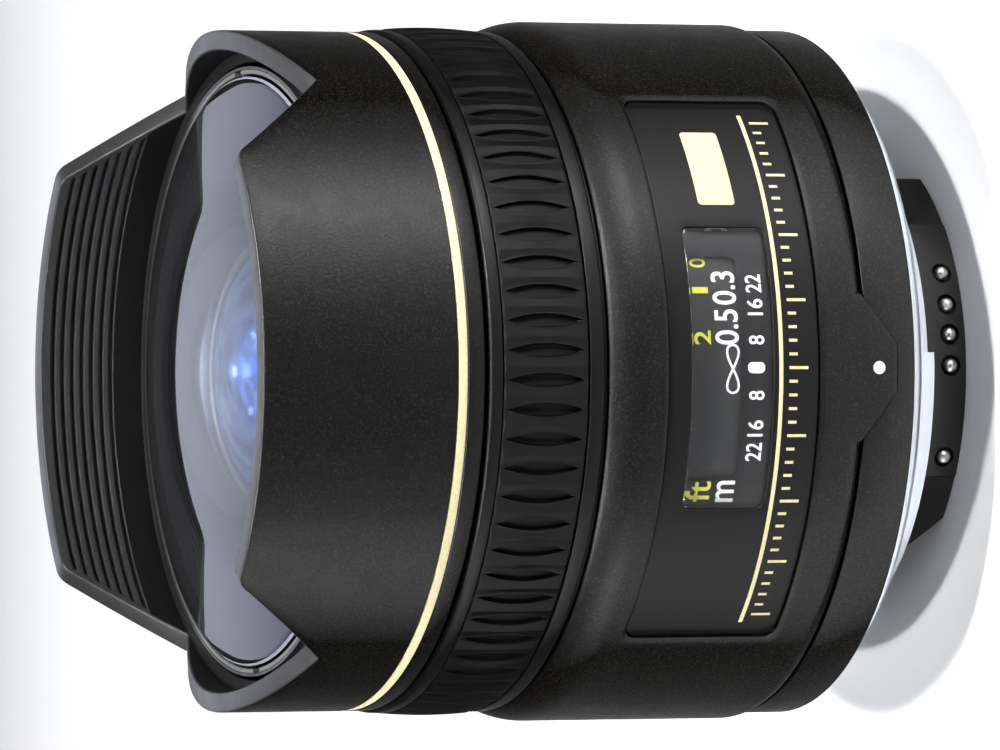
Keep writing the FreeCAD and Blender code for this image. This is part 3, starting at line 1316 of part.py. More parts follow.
export("second_element_ring", second_element_ring())
export("inner_cell", inner_cell())
export("front_doublet", *front_doublet())
export("inner_cell_ring", inner_cell_ring())
export("front_sleeve", front_sleeve())
export("front_cam_pins", *cam_pins(FRONT_PIN_PHI, FRONT_PIN_Z, sleeve_bore))
export("iris_housing", iris_housing())
export("iris_cover", iris_cover())
export("iris_ring", iris_ring())
for number in range(BLADE_COUNT):
    export("iris_blade_%d" % (number + 1), iris_blade(number))
export("rear_cell", rear_cell())
export("rear_carrier", rear_carrier())
export("rear_cam_pins", *cam_pins(REAR_PIN_PHI, REAR_PIN_Z, sleeve_r - CARRIER_RIM_WALL))
export("stop_side_element", stop_side_element())
export("middle_doublet", *middle_doublet())
export("rear_doublet", *rear_doublet())
export("rear_element", rear_element())
export("rear_spacers", *rear_spacers())
export("filter_holder", filter_holder())
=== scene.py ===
import json
import logging
import math
from dataclasses import dataclass
from enum import Enum
from typing import Iterable, Optional, Sequence

import bmesh
import bpy
import numpy as np
from mathutils import Matrix, Vector

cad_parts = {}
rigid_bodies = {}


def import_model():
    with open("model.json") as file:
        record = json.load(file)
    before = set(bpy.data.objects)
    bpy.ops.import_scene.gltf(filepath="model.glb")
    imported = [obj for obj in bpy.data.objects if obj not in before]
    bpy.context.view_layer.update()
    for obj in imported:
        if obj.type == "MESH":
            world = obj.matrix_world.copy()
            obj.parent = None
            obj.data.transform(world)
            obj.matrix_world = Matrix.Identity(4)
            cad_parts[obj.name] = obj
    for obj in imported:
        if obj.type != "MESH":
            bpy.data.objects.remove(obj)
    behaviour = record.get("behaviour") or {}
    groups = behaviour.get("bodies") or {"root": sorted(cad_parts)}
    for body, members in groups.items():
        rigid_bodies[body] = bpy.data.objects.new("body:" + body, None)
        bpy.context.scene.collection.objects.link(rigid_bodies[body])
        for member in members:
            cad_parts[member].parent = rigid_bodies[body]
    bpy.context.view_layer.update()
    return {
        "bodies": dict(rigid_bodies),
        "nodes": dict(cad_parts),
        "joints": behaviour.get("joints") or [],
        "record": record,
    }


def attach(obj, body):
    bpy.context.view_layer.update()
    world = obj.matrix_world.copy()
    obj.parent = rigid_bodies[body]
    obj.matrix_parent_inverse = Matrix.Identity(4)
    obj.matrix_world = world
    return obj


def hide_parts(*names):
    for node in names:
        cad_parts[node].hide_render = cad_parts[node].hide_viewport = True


# The lens's sizes are in millimetres and degrees, and become metres when a mesh is made.
# Angles round the optical axis start at the mounting index (-Y) and grow towards +X.

LOG = logging.getLogger("fisheye")
MM = 0.001

# Points nearer than WELD, in metres, are merged. Edges sharper than CREASE, in radians, stay sharp.
WELD = 1e-7
CREASE = math.radians(32)

# Least length and angle that a formula divides by.
LEAST_LENGTH = 1e-9
LEAST_ANGLE = 1e-4

# Values between which nearly all of a noise field lies.
FIELD_LOW = 0.3
FIELD_HIGH = 0.7

# Radii that several units share: the main barrel's outside and the middle of the panel's print.
BARREL_OUTER = 31.5
PRINT_RADIUS = 31.27

# Thickness of printed figures and ticks, and the gap between a print and what it lies on.
FILM = 0.015
FILM_GAP = 0.004

Colour = tuple[float, float, float, float]


class Body(Enum):
    """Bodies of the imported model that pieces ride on."""

    BARREL = "barrel"
    FOCUS = "focus_unit"
    AUTOFOCUS = "af_drive"
    APERTURE = "aperture_unit"
    FRONT = "front_group"
    REAR = "rear_group"


class Slot(Enum):
    """Material slots of the record."""

    BODY = "body_black"
    HOOD = "hood_black"
    PANEL = "panel_black"
    RUBBER = "grip_rubber"
    GOLD = "gold_line"
    WINDOW = "window_clear"
    WHITE = "white_paint"
    CHROME = "mount_chrome"
    STEEL = "screw_steel"
    BAFFLE = "baffle_black"
    CONTACT = "contact_gold"
    ANODISED = "anodised_black"
    BRASS = "gear_brass"
    GLASS = "optical_glass"


# Shapes


def around(radius: np.ndarray, turn: np.ndarray, height: np.ndarray) -> np.ndarray:
    """Points about the optical axis: x = radius sin(turn), y = -radius cos(turn), z = height.

    Args:
        radius: Distances from the axis, in mm.
        turn: Angles from the index, in degrees.
        height: Heights above the flange face, in mm.

    Returns:
        The points, with x, y, z along the last axis.
    """
    radius, angle, height = np.broadcast_arrays(radius, np.radians(turn), height)
    return np.stack([radius * np.sin(angle), -radius * np.cos(angle), height], axis=-1)


@dataclass
class Lattice:
    """Grid of points, rows by columns, whose cells become quads.

    A cell's face points along (column direction) x (row direction). Zones give each row of
    cells the number of its finish.
    """

    points: np.ndarray
    close_rows: bool = False
    close_columns: bool = False
    zones: Optional[Sequence[int]] = None

    def quads(self) -> np.ndarray:
        """Four point numbers for each cell of the grid.

        Returns:
            Array of shape (cells, 4).
        """
        rows, columns = self.points.shape[:2]
        index = np.arange(rows * columns).reshape(rows, columns)
        if self.close_rows:
            index = np.concatenate([index, index[:1]])
        if self.close_columns:
            index = np.concatenate([index, index[:, :1]], axis=1)
        corners = [index[:-1, :-1], index[:-1, 1:], index[1:, 1:], index[1:, :-1]]
        return np.stack(corners, axis=-1).reshape(-1, 4)

    def finishes(self) -> np.ndarray:
        """Number of the finish of each cell.

        Returns:
            Array of as many numbers as there are quads.
        """
        rows = self.points.shape[0] - (not self.close_rows)
        columns = self.points.shape[1] - (not self.close_columns)
        zones = np.zeros(rows, np.int32) if self.zones is None else np.array(self.zones, np.int32)
        return np.repeat(zones[:rows], columns)


def welded(name: str, mesh: bpy.types.Mesh, crease: float = CREASE) -> bpy.types.Object:
    """Object of a mesh whose coinciding points are merged, smooth apart from creases.

    Args:
        name: Name of the piece.
        mesh: Mesh to finish.
        crease: Angle in radians past which an edge stays sharp.

    Returns:
        The linked object, at the origin.
    """
    work = bmesh.new()
    work.from_mesh(mesh)
    bmesh.ops.remove_doubles(work, verts=work.verts, dist=WELD)
    bmesh.ops.dissolve_degenerate(work, dist=WELD, edges=work.edges)
    bmesh.ops.delete(work, geom=[edge for edge in work.edges if edge.is_wire], context="EDGES")
    work.to_mesh(mesh)
    work.free()
    mesh.shade_smooth()
    mesh.set_sharp_from_angle(angle=crease)
    piece = bpy.data.objects.new(name, mesh)
    bpy.context.scene.collection.objects.link(piece)
    return piece


def shaped(name: str, *lattices: Lattice, crease: float = CREASE) -> bpy.types.Object:
    """Piece made of one or more lattices in mm; shared edges, poles and seams close.

    Args:
        name: Name of the piece.
        lattices: The grids that it is made of.
        crease: Angle in radians past which an edge stays sharp.

    Returns:
        The linked object.
    """
    points = np.concatenate([one.points.reshape(-1, 3) for one in lattices]) * MM
    starts = np.cumsum([0] + [one.points.size // 3 for one in lattices[:-1]])
    quads = np.concatenate([one.quads() + start for one, start in zip(lattices, starts)])
    mesh = bpy.data.meshes.new(name)
    mesh.vertices.add(len(points))
    mesh.vertices.foreach_set("co", points.astype(np.float32).ravel())
    mesh.loops.add(quads.size)
    mesh.loops.foreach_set("vertex_index", quads.astype(np.int32).ravel())
    mesh.polygons.add(len(quads))
    mesh.polygons.foreach_set("loop_start", np.arange(0, quads.size, 4, dtype=np.int32))
    mesh.polygons.foreach_set("material_index", np.concatenate([one.finishes() for one in lattices]))
    mesh.update(calc_edges=True)
    return welded(name, mesh, crease)


def rounded_profile(corners: Sequence[tuple[float, float, float]], steps: int = 4) -> np.ndarray:
    """Closed outline in the (radius, height) plane with an arc of the given rounding at each corner.

    Each arc turns from the point where one side leaves it to the point where the next begins:
    centre + (sin((1 - t) w) a + sin(t w) b) / sin(w), with a and b the arms and w the angle between.

    Args:
        corners: (radius, height, rounding) of each corner, anticlockwise.
        steps: Segments in each arc.

    Returns:
        Array of (radius, height) rows.
    """
    table = np.array(corners, float)
    place, fillet = table[:, :2], table[:, 2:]
    back = np.roll(place, 1, axis=0) - place
    ahead = np.roll(place, -1, axis=0) - place
    back /= np.linalg.norm(back, axis=1, keepdims=True)
    ahead /= np.linalg.norm(ahead, axis=1, keepdims=True)
    half = np.arccos(np.clip((back * ahead).sum(1, keepdims=True), -1, 1)) / 2
    middle = back + ahead
    middle /= np.maximum(np.linalg.norm(middle, axis=1, keepdims=True), LEAST_LENGTH)
    centre = place + middle * fillet / np.sin(half)
    first = place + back * fillet / np.tan(half) - centre
    last = place + ahead * fillet / np.tan(half) - centre
    sweep = np.maximum(math.pi - 2 * half, LEAST_ANGLE)
    share = np.linspace(0, 1, steps + 1)[None, :, None]
    sweep, first, last = sweep[:, None], first[:, None], last[:, None]
    arms = (np.sin((1 - share) * sweep) * first + np.sin(share * sweep) * last) / np.sin(sweep)
    return (centre[:, None] + arms).reshape(-1, 2)


def revolved(name: str, profile: np.ndarray, columns: int = 360, crease: float = CREASE,
             zones: Optional[Sequence[int]] = None) -> bpy.types.Object:
    """Closed outline carried round the optical axis.

    Args:
        name: Name of the piece.
        profile: (radius, height) rows, anticlockwise.
        columns: Number of steps round the axis.
        crease: Angle in radians past which an edge stays sharp.
        zones: Number of the finish between each row and the next.

    Returns:
        The linked object.
    """
    turn = np.linspace(0, 360, columns, endpoint=False)
    points = around(profile[:, :1], turn[None], profile[:, 1:])
    return shaped(name, Lattice(points, close_rows=True, close_columns=True, zones=zones), crease=crease)


def bulge(curve: float, radius: np.ndarray) -> np.ndarray:
    """Fall of a ball's surface from its pole: curve - sqrt(curve^2 - radius^2).

    Args:
        curve: Radius of the ball, in mm.
        radius: Distances from the pole's axis, in mm.

    Returns:
        The falls, in mm.
    """
    return curve - np.sqrt(np.maximum(curve * curve - radius * radius, 0))


@dataclass(frozen=True)
class Sheet:
    """Rounded rectangle laid on a cylinder: arc length across, height up.

    Across, up and arc are the steps along its level sides, its upright sides and each corner.
    """

    half: float
    low: float
    high: float
    corner: float
    radius: float
    across: int = 96
    up: int = 24
    arc: int = 8

    def loop(self, inset: float = 0.0) -> np.ndarray:
        """Outline as (arc length, height) rows, anticlockwise seen from outside.

        Straight sides are evenly divided, and corners are quarter circles about their centres.

        Args:
            inset: How far inside the edge the outline runs, in mm; negative is outside.

        Returns:
            Array of 2 (across + up + 2 arc) rows, the same number for any inset.
        """
        half, low, high = self.half - inset, self.low + inset, self.high - inset
        corner = max(self.corner - inset, 0.0)
        wide = half - corner
        base, top = low + corner, high - corner
        run = np.linspace(0, 1, self.across, endpoint=False)
        rise = np.linspace(0, 1, self.up, endpoint=False)
        bend = np.radians(np.linspace(0, 90, self.arc, endpoint=False))
        sides = [
            np.stack([-wide + 2 * wide * run, np.full_like(run, low)], 1),
            self.bend(wide, base, corner, bend - math.pi / 2),
            np.stack([np.full_like(rise, half), base + (top - base) * rise], 1),
            self.bend(wide, top, corner, bend),
            np.stack([wide - 2 * wide * run, np.full_like(run, high)], 1),
            self.bend(-wide, top, corner, bend + math.pi / 2),
            np.stack([np.full_like(rise, -half), top + (base - top) * rise], 1),
            self.bend(-wide, base, corner, bend + math.pi),
        ]
        return np.concatenate(sides)

    @staticmethod
    def bend(across: float, height: float, corner: float, angle: np.ndarray) -> np.ndarray:
        """Corner arc: centre + corner (cos, sin) of the angle."""
        return np.stack([across + corner * np.cos(angle), height + corner * np.sin(angle)], 1)

    def spine(self) -> float:
        """Inset at which the outline has shrunk to a line."""
        return min(self.half, (self.high - self.low) / 2)

    def laid(self, loops: Iterable[tuple[np.ndarray, float]], turn: float = 0.0) -> np.ndarray:
        """Rows of points: each outline at its own radius, turned by arc length over the sheet's radius.

        Args:
            loops: Pairs of an outline and its radius, in mm.
            turn: Turn of the sheet's middle, in degrees.

        Returns:
            Array of shape (outlines, points, 3).
        """
        rows = []
        for line, radius in loops:
            rows.append(around(radius, turn + np.degrees(line[:, 0] / self.radius), line[:, 1]))
        return np.stack(rows)


def patch(half_turn: float, low: float, high: float, corner: float, inset: float = 0.0) -> Sheet:
    """Sheet on the main barrel's outside, given by half the angle that it covers.

    Args:
        half_turn: Half of the angle, in degrees.
        low: Height of its lower edge, in mm.
        high: Height of its upper edge, in mm.
        corner: Radius of its corners, in mm.
        inset: What each end falls short of the angle, in mm.

    Returns:
        The sheet.
    """
    return Sheet(math.radians(half_turn) * BARREL_OUTER - inset, low, high, corner, BARREL_OUTER)


def between(first: np.ndarray, last: np.ndarray, steps: int) -> list[np.ndarray]:
    """Outlines evenly spaced between two, both left out: first + share (last - first).

    Args:
        first: Outline to start after.
        last: Outline to end before.
        steps: Number of spaces between the two.

    Returns:
        The outlines, one fewer than the spaces.
    """
    shares = np.linspace(0, 1, steps + 1)[1:-1]
    return [first + (last - first) * share for share in shares]


def eased(sheet: Sheet, edge: float, high: float, angles: np.ndarray,
          side: int = 1) -> list[tuple[np.ndarray, float]]:
    """Outlines over a quarter-round edge: inset = side edge (1 - cos t), radius = high - edge (1 - sin t).

    Args:
        sheet: Outline of the plate or of its window.
        edge: Rounding, in mm.
        high: Radius of the plate's top, in mm.
        angles: The values of t, in radians.
        side: 1 where the plate lies inside the outline, -1 where it lies outside.

    Returns:
        Pairs of an outline and its radius.
    """
    return [(sheet.loop(side * edge * (1 - math.cos(t))), high - edge * (1 - math.sin(t))) for t in angles]


def plate(name: str, sheet: Sheet, low: float, high: float, edge: float,
          hole: Optional[Sheet] = None, turn: float = 0.0, steps: int = 8) -> bpy.types.Object:
    """Curved plate with a rounded top edge, whole or with a window.

    Rows run over the underside from the middle out, up the rim, over its rounded edge and
    back over the top to the middle or the window.

    Args:
        name: Name of the piece.
        sheet: Its outline.
        low: Radius of the underside, in mm.
        high: Radius of the top, in mm.
        edge: Rounding of the top edge, in mm.
        hole: Outline of the window, if it has one.
        turn: Turn of its middle, in degrees.
        steps: Rows between the rim and the middle or window.

    Returns:
        The linked object.
    """
    inner = hole.loop(-edge) if hole else sheet.loop(sheet.spine())
    middle = hole.loop() if hole else inner
    angles = np.radians(np.linspace(0, 90, 4))
    rim = eased(sheet, edge, high, angles)
    under = [middle, *between(middle, sheet.loop(), steps), sheet.loop()]
    over = [*between(rim[-1][0], inner, steps), inner]
    rows = [(line, low) for line in under] + rim + [(line, high) for line in over]
    if hole:
        rows += eased(hole, edge, high, angles[-2::-1], side=-1)
    return shaped(name, Lattice(sheet.laid(rows, turn), close_rows=hole is not None, close_columns=True))


def smooth_copy(name: str, node: str, crease: float) -> bpy.types.Object:
    """Copy of a CAD node's mesh with its loose triangles merged and its round walls smooth.

    Args:
        name: Name of the new piece.
        node: CAD node to copy.
        crease: Angle in radians past which an edge stays sharp.

    Returns:
        The linked object.
    """
    mesh = bpy.data.objects[node].data.copy()
    mesh.name = name
    mesh.materials.clear()
    return welded(name, mesh, crease)


# Finishes


class Recipe:
    """Node tree of one finish: a principled shader fed by patterns on Object coordinates."""

    def __init__(self, name: str) -> None:
        """Starts an empty finish.

        Args:
            name: Name of the material.
        """
        self.material = bpy.data.materials.new(name)
        self.material.use_nodes = True
        self.nodes = self.material.node_tree.nodes
        self.links = self.material.node_tree.links
        self.shader = self.nodes["Principled BSDF"]

    @property
    def place(self) -> bpy.types.NodeSocket:
        """Object coordinates, from one node for all patterns."""
        node = self.nodes.get("Texture Coordinate") or self.nodes.new("ShaderNodeTexCoord")
        return node.outputs["Object"]

    def put(self, values: dict[str, object]) -> None:
        """Sets sockets of the shader that are the same all over.

        Args:
            values: Value of each socket, by the socket's name.
        """
        for socket, value in values.items():
            self.shader.inputs[socket].default_value = value

    def wire(self, output: bpy.types.NodeSocket, socket: str) -> None:
        """Joins an output to a socket of the shader."""
        self.links.new(output, self.shader.inputs[socket])

    def scaled(self, factors: tuple[float, float, float]) -> bpy.types.NodeSocket:
        """Object coordinates multiplied axis by axis.

        Args:
            factors: Factor along each axis.

        Returns:
            The scaled coordinates.
        """
        node = self.nodes.new("ShaderNodeVectorMath")
        node.operation = "MULTIPLY"
        self.links.new(self.place, node.inputs[0])
        node.inputs[1].default_value = factors
        return node.outputs["Vector"]

    def noise(self, size: float, detail: float = 2.0, rough: float = 0.5,
              stretch: tuple[float, float, float] = (1, 1, 1)) -> bpy.types.NodeSocket:
        """Soft random field.

        Args:
            size: Size of its features, in mm.
            detail: Octaves.
            rough: Weight of the finer octaves.
            stretch: How much finer it is along each axis.

        Returns:
            Its value, about 0.5 on average.
        """
        node = self.nodes.new("ShaderNodeTexNoise")
        self.links.new(self.scaled(stretch), node.inputs["Vector"])
        node.inputs["Scale"].default_value = 1 / (size * MM)
        node.inputs["Detail"].default_value = detail
        node.inputs["Roughness"].default_value = rough
        return node.outputs[0]

    def pebbles(self, size: float) -> bpy.types.NodeSocket:
        """Distance to the nearest of many scattered points.

        Args:
            size: Size of the cells that hold one point each, in mm.

        Returns:
            The distance, in cells.
        """
        node = self.nodes.new("ShaderNodeTexVoronoi")
        node.feature = "SMOOTH_F1"
        self.links.new(self.place, node.inputs["Vector"])
        node.inputs["Scale"].default_value = 1 / (size * MM)
        return node.outputs["Distance"]

    def turning(self, pitch: float) -> bpy.types.NodeSocket:
        """Lathe marks: a random field of the distance from the axis.

        Args:
            pitch: Distance between marks, in mm.

        Returns:
            Its value, about 0.5 on average.
        """
        span = self.nodes.new("ShaderNodeVectorMath")
        span.operation = "LENGTH"
        self.links.new(self.scaled((1, 1, 0)), span.inputs[0])
        node = self.nodes.new("ShaderNodeTexNoise")
        node.noise_dimensions = "1D"
        self.links.new(span.outputs["Value"], node.inputs["W"])
        node.inputs["Scale"].default_value = 1 / (pitch * MM)
        node.inputs["Detail"].default_value = 3
        return node.outputs[0]

    def span(self, value: bpy.types.NodeSocket, low: float, high: float,
             start: float = FIELD_LOW, end: float = FIELD_HIGH) -> bpy.types.NodeSocket:
        """Value mapped from start..end to low..high.

        Args:
            value: Field to map.
            low: Result at start.
            high: Result at end.
            start: Field value that gives low.
            end: Field value that gives high.

        Returns:
            The mapped value.
        """
        node = self.nodes.new("ShaderNodeMapRange")
        self.links.new(value, node.inputs["Value"])
        for socket, number in (("From Min", start), ("From Max", end), ("To Min", low), ("To Max", high)):
            node.inputs[socket].default_value = number
        return node.outputs["Result"]

    def math(self, operation: str, first: bpy.types.NodeSocket, second: object) -> bpy.types.NodeSocket:
        """Two values joined by an operation.

        Args:
            operation: Name of the operation.
            first: First value.
            second: Second value, or a plain number.

        Returns:
            The result.
        """
        node = self.nodes.new("ShaderNodeMath")
        node.operation = operation
        self.links.new(first, node.inputs[0])
        if isinstance(second, (int, float)):
            node.inputs[1].default_value = second
        else:
            self.links.new(second, node.inputs[1])
        return node.outputs[0]

    def tint(self, value: bpy.types.NodeSocket, stops: Sequence[tuple[float, Colour]]) -> None:
        """Base colour picked by a field from a row of stops.

        Args:
            value: Field that picks the colour.
            stops: Pairs of a field value and its colour.
        """
        node = self.nodes.new("ShaderNodeValToRGB")
        self.links.new(value, node.inputs["Fac"])
        scale = node.color_ramp.elements
        while len(scale) < len(stops):
            scale.new(0.5)
        for element, (position, colour) in zip(scale, stops):
            element.position = position
            element.color = colour
        self.wire(node.outputs["Color"], "Base Color")

    def dull(self, value: bpy.types.NodeSocket, low: float, high: float) -> None:
        """Roughness that drifts with a field."""
        self.wire(self.span(value, low, high), "Roughness")

    def fading_gloss(self, level: float) -> None:
        """Gloss that the pebbles of a rough coat hide from each other where it is seen edge-on.

        It falls from its level to a small share of it between two values of the facing ratio,
        which is 0 where the surface faces the eye and 1 where it is seen edge-on.

        Args:
            level: Gloss where the surface faces the eye.
        """
        share_left, fade_start, fade_end = 0.03, 0.18, 0.44
        facing = self.nodes.new("ShaderNodeLayerWeight").outputs["Facing"]
        gloss = self.span(facing, level, level * share_left, fade_start, fade_end)
        self.wire(gloss, "Specular IOR Level")

    def emboss(self, height: bpy.types.NodeSocket, depth: float) -> None:
        """Bumps the surface by a field.

        Args:
            height: The field.
            depth: Depth of the bumps, in mm.
        """
        node = self.nodes.new("ShaderNodeBump")
        self.links.new(height, node.inputs["Height"])
        node.inputs["Distance"].default_value = depth * MM
        node.inputs["Strength"].default_value = 1.0
        self.wire(node.outputs["Normal"], "Normal")

    def let_lamps_through(self) -> None:
        """Shadow rays pass the glass, so that what lies behind it is lit."""
        path = self.nodes.new("ShaderNodeLightPath")
        clear = self.nodes.new("ShaderNodeBsdfTransparent")
        mix = self.nodes.new("ShaderNodeMixShader")
        self.links.new(path.outputs["Is Shadow Ray"], mix.inputs[0])
        self.links.new(self.shader.outputs["BSDF"], mix.inputs[1])
        self.links.new(clear.outputs["BSDF"], mix.inputs[2])
        self.links.new(mix.outputs["Shader"], self.nodes["Material Output"].inputs["Surface"])


def shade(colour: tuple[float, float, float], factor: float) -> Colour:
    """Colour made lighter or darker by a factor."""
    return (colour[0] * factor, colour[1] * factor, colour[2] * factor, 1.0)


@dataclass(frozen=True)
class Finish:
    """A plain dull finish with a name and a base colour; each other kind mixes its own material."""

    name: str
    colour: tuple[float, float, float]

    def material(self) -> bpy.types.Material:
        """The finish's material, mixed once.

        Returns:
            The material.
        """
        made = bpy.data.materials.get(self.name)
        if made is None:
            recipe = Recipe(self.name)
            self.mix(recipe)
            made = recipe.material
        return made

    def mix(self, recipe: Recipe) -> None:
        """Plain colour with no gloss."""
        recipe.put({"Base Color": shade(self.colour, 1.0), "Roughness": 1.0, "Specular IOR Level": 0.0})

    def tones(self, dark: float, light: float) -> list[tuple[float, Colour]]:
        """Stops from a darker to a lighter tone of the colour, over the range of a noise field."""
        return [(FIELD_LOW, shade(self.colour, dark)), (FIELD_HIGH, shade(self.colour, light))]


@dataclass(frozen=True)
class WrinklePaint(Finish):
    """Baked wrinkle lacquer: small soft pebbles whose colour follows their height, darker in the pits as
    painted shade and paler on the tops as painted sheen.
    """

    grain: float = 0.26
    depth: float = 0.022
    roughness: float = 0.45
    shine: float = 0.38

    def mix(self, recipe: Recipe) -> None:
        """Pebbles and a fine grain bump the coat, the colour is darker in the grain's pits as painted shade
        and paler on its tops as painted sheen, and the gloss drifts slowly.

        Args:
            recipe: Node tree to fill.
        """
        pebble = recipe.pebbles(self.grain)
        fine = recipe.noise(self.grain * 0.8, 3.0, 0.65)
        drift = recipe.noise(self.grain * 8, 2.0, 0.5)
        height = recipe.math("SUBTRACT", fine, recipe.math("MULTIPLY", pebble, 0.5))
        # The base colour follows the bump's fine grain: painted shade in its pits and a painted sheen on its
        # tops.
        pit_shade, flats, top_sheen = shade(self.colour, 0.3), shade(self.colour, 0.9), shade(self.colour, 7.0)
        recipe.tint(fine, [(0.34, pit_shade), (0.52, flats), (0.68, top_sheen)])
        recipe.dull(drift, self.roughness - 0.02, self.roughness + 0.03)
        recipe.fading_gloss(self.shine)
        recipe.emboss(height, self.depth)


@dataclass(frozen=True)
class SatinCoat(Finish):
    """Smooth satin coat with faint streaks from turning and a fine tooth."""

    roughness: float = 0.42
    shine: float = 0.35
    tooth: float = 0.006
    fades: bool = True

    def mix(self, recipe: Recipe) -> None:
        """Streaks round the axis drift in gloss, over an even colour with a fine grain.

        Args:
            recipe: Node tree to fill.
        """
        grain = recipe.noise(0.09, 2.0)
        streak = recipe.noise(0.5, 2.0, 0.5, (0.15, 0.15, 3.0))
        recipe.tint(grain, self.tones(0.85, 1.2))
        recipe.dull(streak, self.roughness - 0.05, self.roughness + 0.06)
        if self.fades:
            recipe.fading_gloss(self.shine)
        else:
            recipe.put({"Specular IOR Level": self.shine})
        recipe.emboss(grain, self.tooth)


@dataclass(frozen=True)
class MouldedRubber(Finish):
    """Moulded rubber: dull, with a bloom of paler patches and a fine skin."""

    roughness: float = 0.6
    shine: float = 0.24
    depth: float = 0.012

    def mix(self, recipe: Recipe) -> None:
        """A slow bloom lifts colour and dulls the gloss, over a fine skin.

        Args:
            recipe: Node tree to fill.
        """
        skin = recipe.noise(0.12, 3.0, 0.6)
        bloom = recipe.noise(2.4, 3.0, 0.6)
        both = recipe.math("ADD", recipe.math("MULTIPLY", skin, 0.4), recipe.math("MULTIPLY", bloom, 0.6))
        recipe.tint(both, self.tones(0.75, 1.35))
        recipe.dull(bloom, self.roughness - 0.05, self.roughness + 0.1)
        recipe.fading_gloss(self.shine)
        recipe.emboss(skin, self.depth)


@dataclass(frozen=True)
class PrintedInk(Finish):
    """Screen-printed or filled ink: flat, slightly uneven, with a fine orange peel."""

    roughness: float = 0.45
    depth: float = 0.004

    def mix(self, recipe: Recipe) -> None:
        """An even film whose tone and gloss drift a little.

        Args:
            recipe: Node tree to fill.
        """
        film = recipe.noise(0.35, 3.0, 0.6)
        recipe.tint(film, self.tones(0.9, 1.06))
        recipe.dull(film, self.roughness - 0.06, self.roughness + 0.08)
        recipe.emboss(film, self.depth)


@dataclass(frozen=True)
class TurnedMetal(Finish):
    """Bare or plated metal with lathe marks round the axis."""

    roughness: float = 0.16
    pitch: float = 0.12
    depth: float = 0.0015

    def mix(self, recipe: Recipe) -> None:
        """Marks round the axis change the gloss and bump the surface a little; a haze drifts over it.

        Args:
            recipe: Node tree to fill.
        """
        marks = recipe.turning(self.pitch)
        haze = recipe.noise(3.0, 3.0, 0.6)
        recipe.tint(haze, self.tones(0.93, 1.04))
        both = recipe.math("ADD", recipe.math("MULTIPLY", marks, 0.6), recipe.math("MULTIPLY", haze, 0.4))
        recipe.dull(both, self.roughness * 0.7, self.roughness * 1.6)
        recipe.put({"Metallic": 1.0})
        recipe.emboss(marks, self.depth)


@dataclass(frozen=True)
class MouldedPlastic(Finish):
    """Moulded plastic with a spark-eroded grain."""

    roughness: float = 0.5
    shine: float = 0.4
    grain: float = 0.1
    depth: float = 0.008

    def mix(self, recipe: Recipe) -> None:
        """A fine grain bumps the surface and changes its tone; the gloss drifts slowly.

        Args:
            recipe: Node tree to fill.
        """
        grain = recipe.noise(self.grain, 3.0, 0.6)
        drift = recipe.noise(2.0, 2.0)
        recipe.tint(grain, self.tones(0.8, 1.25))
        recipe.dull(drift, self.roughness - 0.06, self.roughness + 0.08)
        recipe.fading_gloss(self.shine)
        recipe.emboss(grain, self.depth)


@dataclass(frozen=True)
class CoatedGlass(Finish):
    """Polished glass whose coating tints what it mirrors."""

    coating: tuple[float, float, float] = (1.0, 1.0, 1.0)
    index: float = 1.6
    haze: float = 0.006

    def mix(self, recipe: Recipe) -> None:
        """Clear body with a tinted gloss, and the faintest haze of handling.

        Args:
            recipe: Node tree to fill.
        """
        recipe.dull(recipe.noise(4.0, 3.0, 0.6), self.haze * 0.4, self.haze)
        recipe.put({"Base Color": shade(self.colour, 1.0), "IOR": self.index, "Transmission Weight": 1.0,
                    "Specular Tint": shade(self.coating, 1.0)})
        recipe.let_lamps_through()


@dataclass(frozen=True)
class ClearWindow(Finish):
    """Clear moulded window with a hard gloss."""

    roughness: float = 0.05
    index: float = 1.49

    def mix(self, recipe: Recipe) -> None:
        """Clear body whose gloss drifts a little from wiping.

        Args:
            recipe: Node tree to fill.
        """
        wiping = recipe.noise(1.6, 3.0, 0.6, (0.4, 0.4, 2.0))
        recipe.dull(wiping, self.roughness * 0.4, self.roughness * 1.6)
        recipe.put({"Base Color": shade(self.colour, 1.0), "IOR": self.index, "Transmission Weight": 1.0})
        recipe.let_lamps_through()


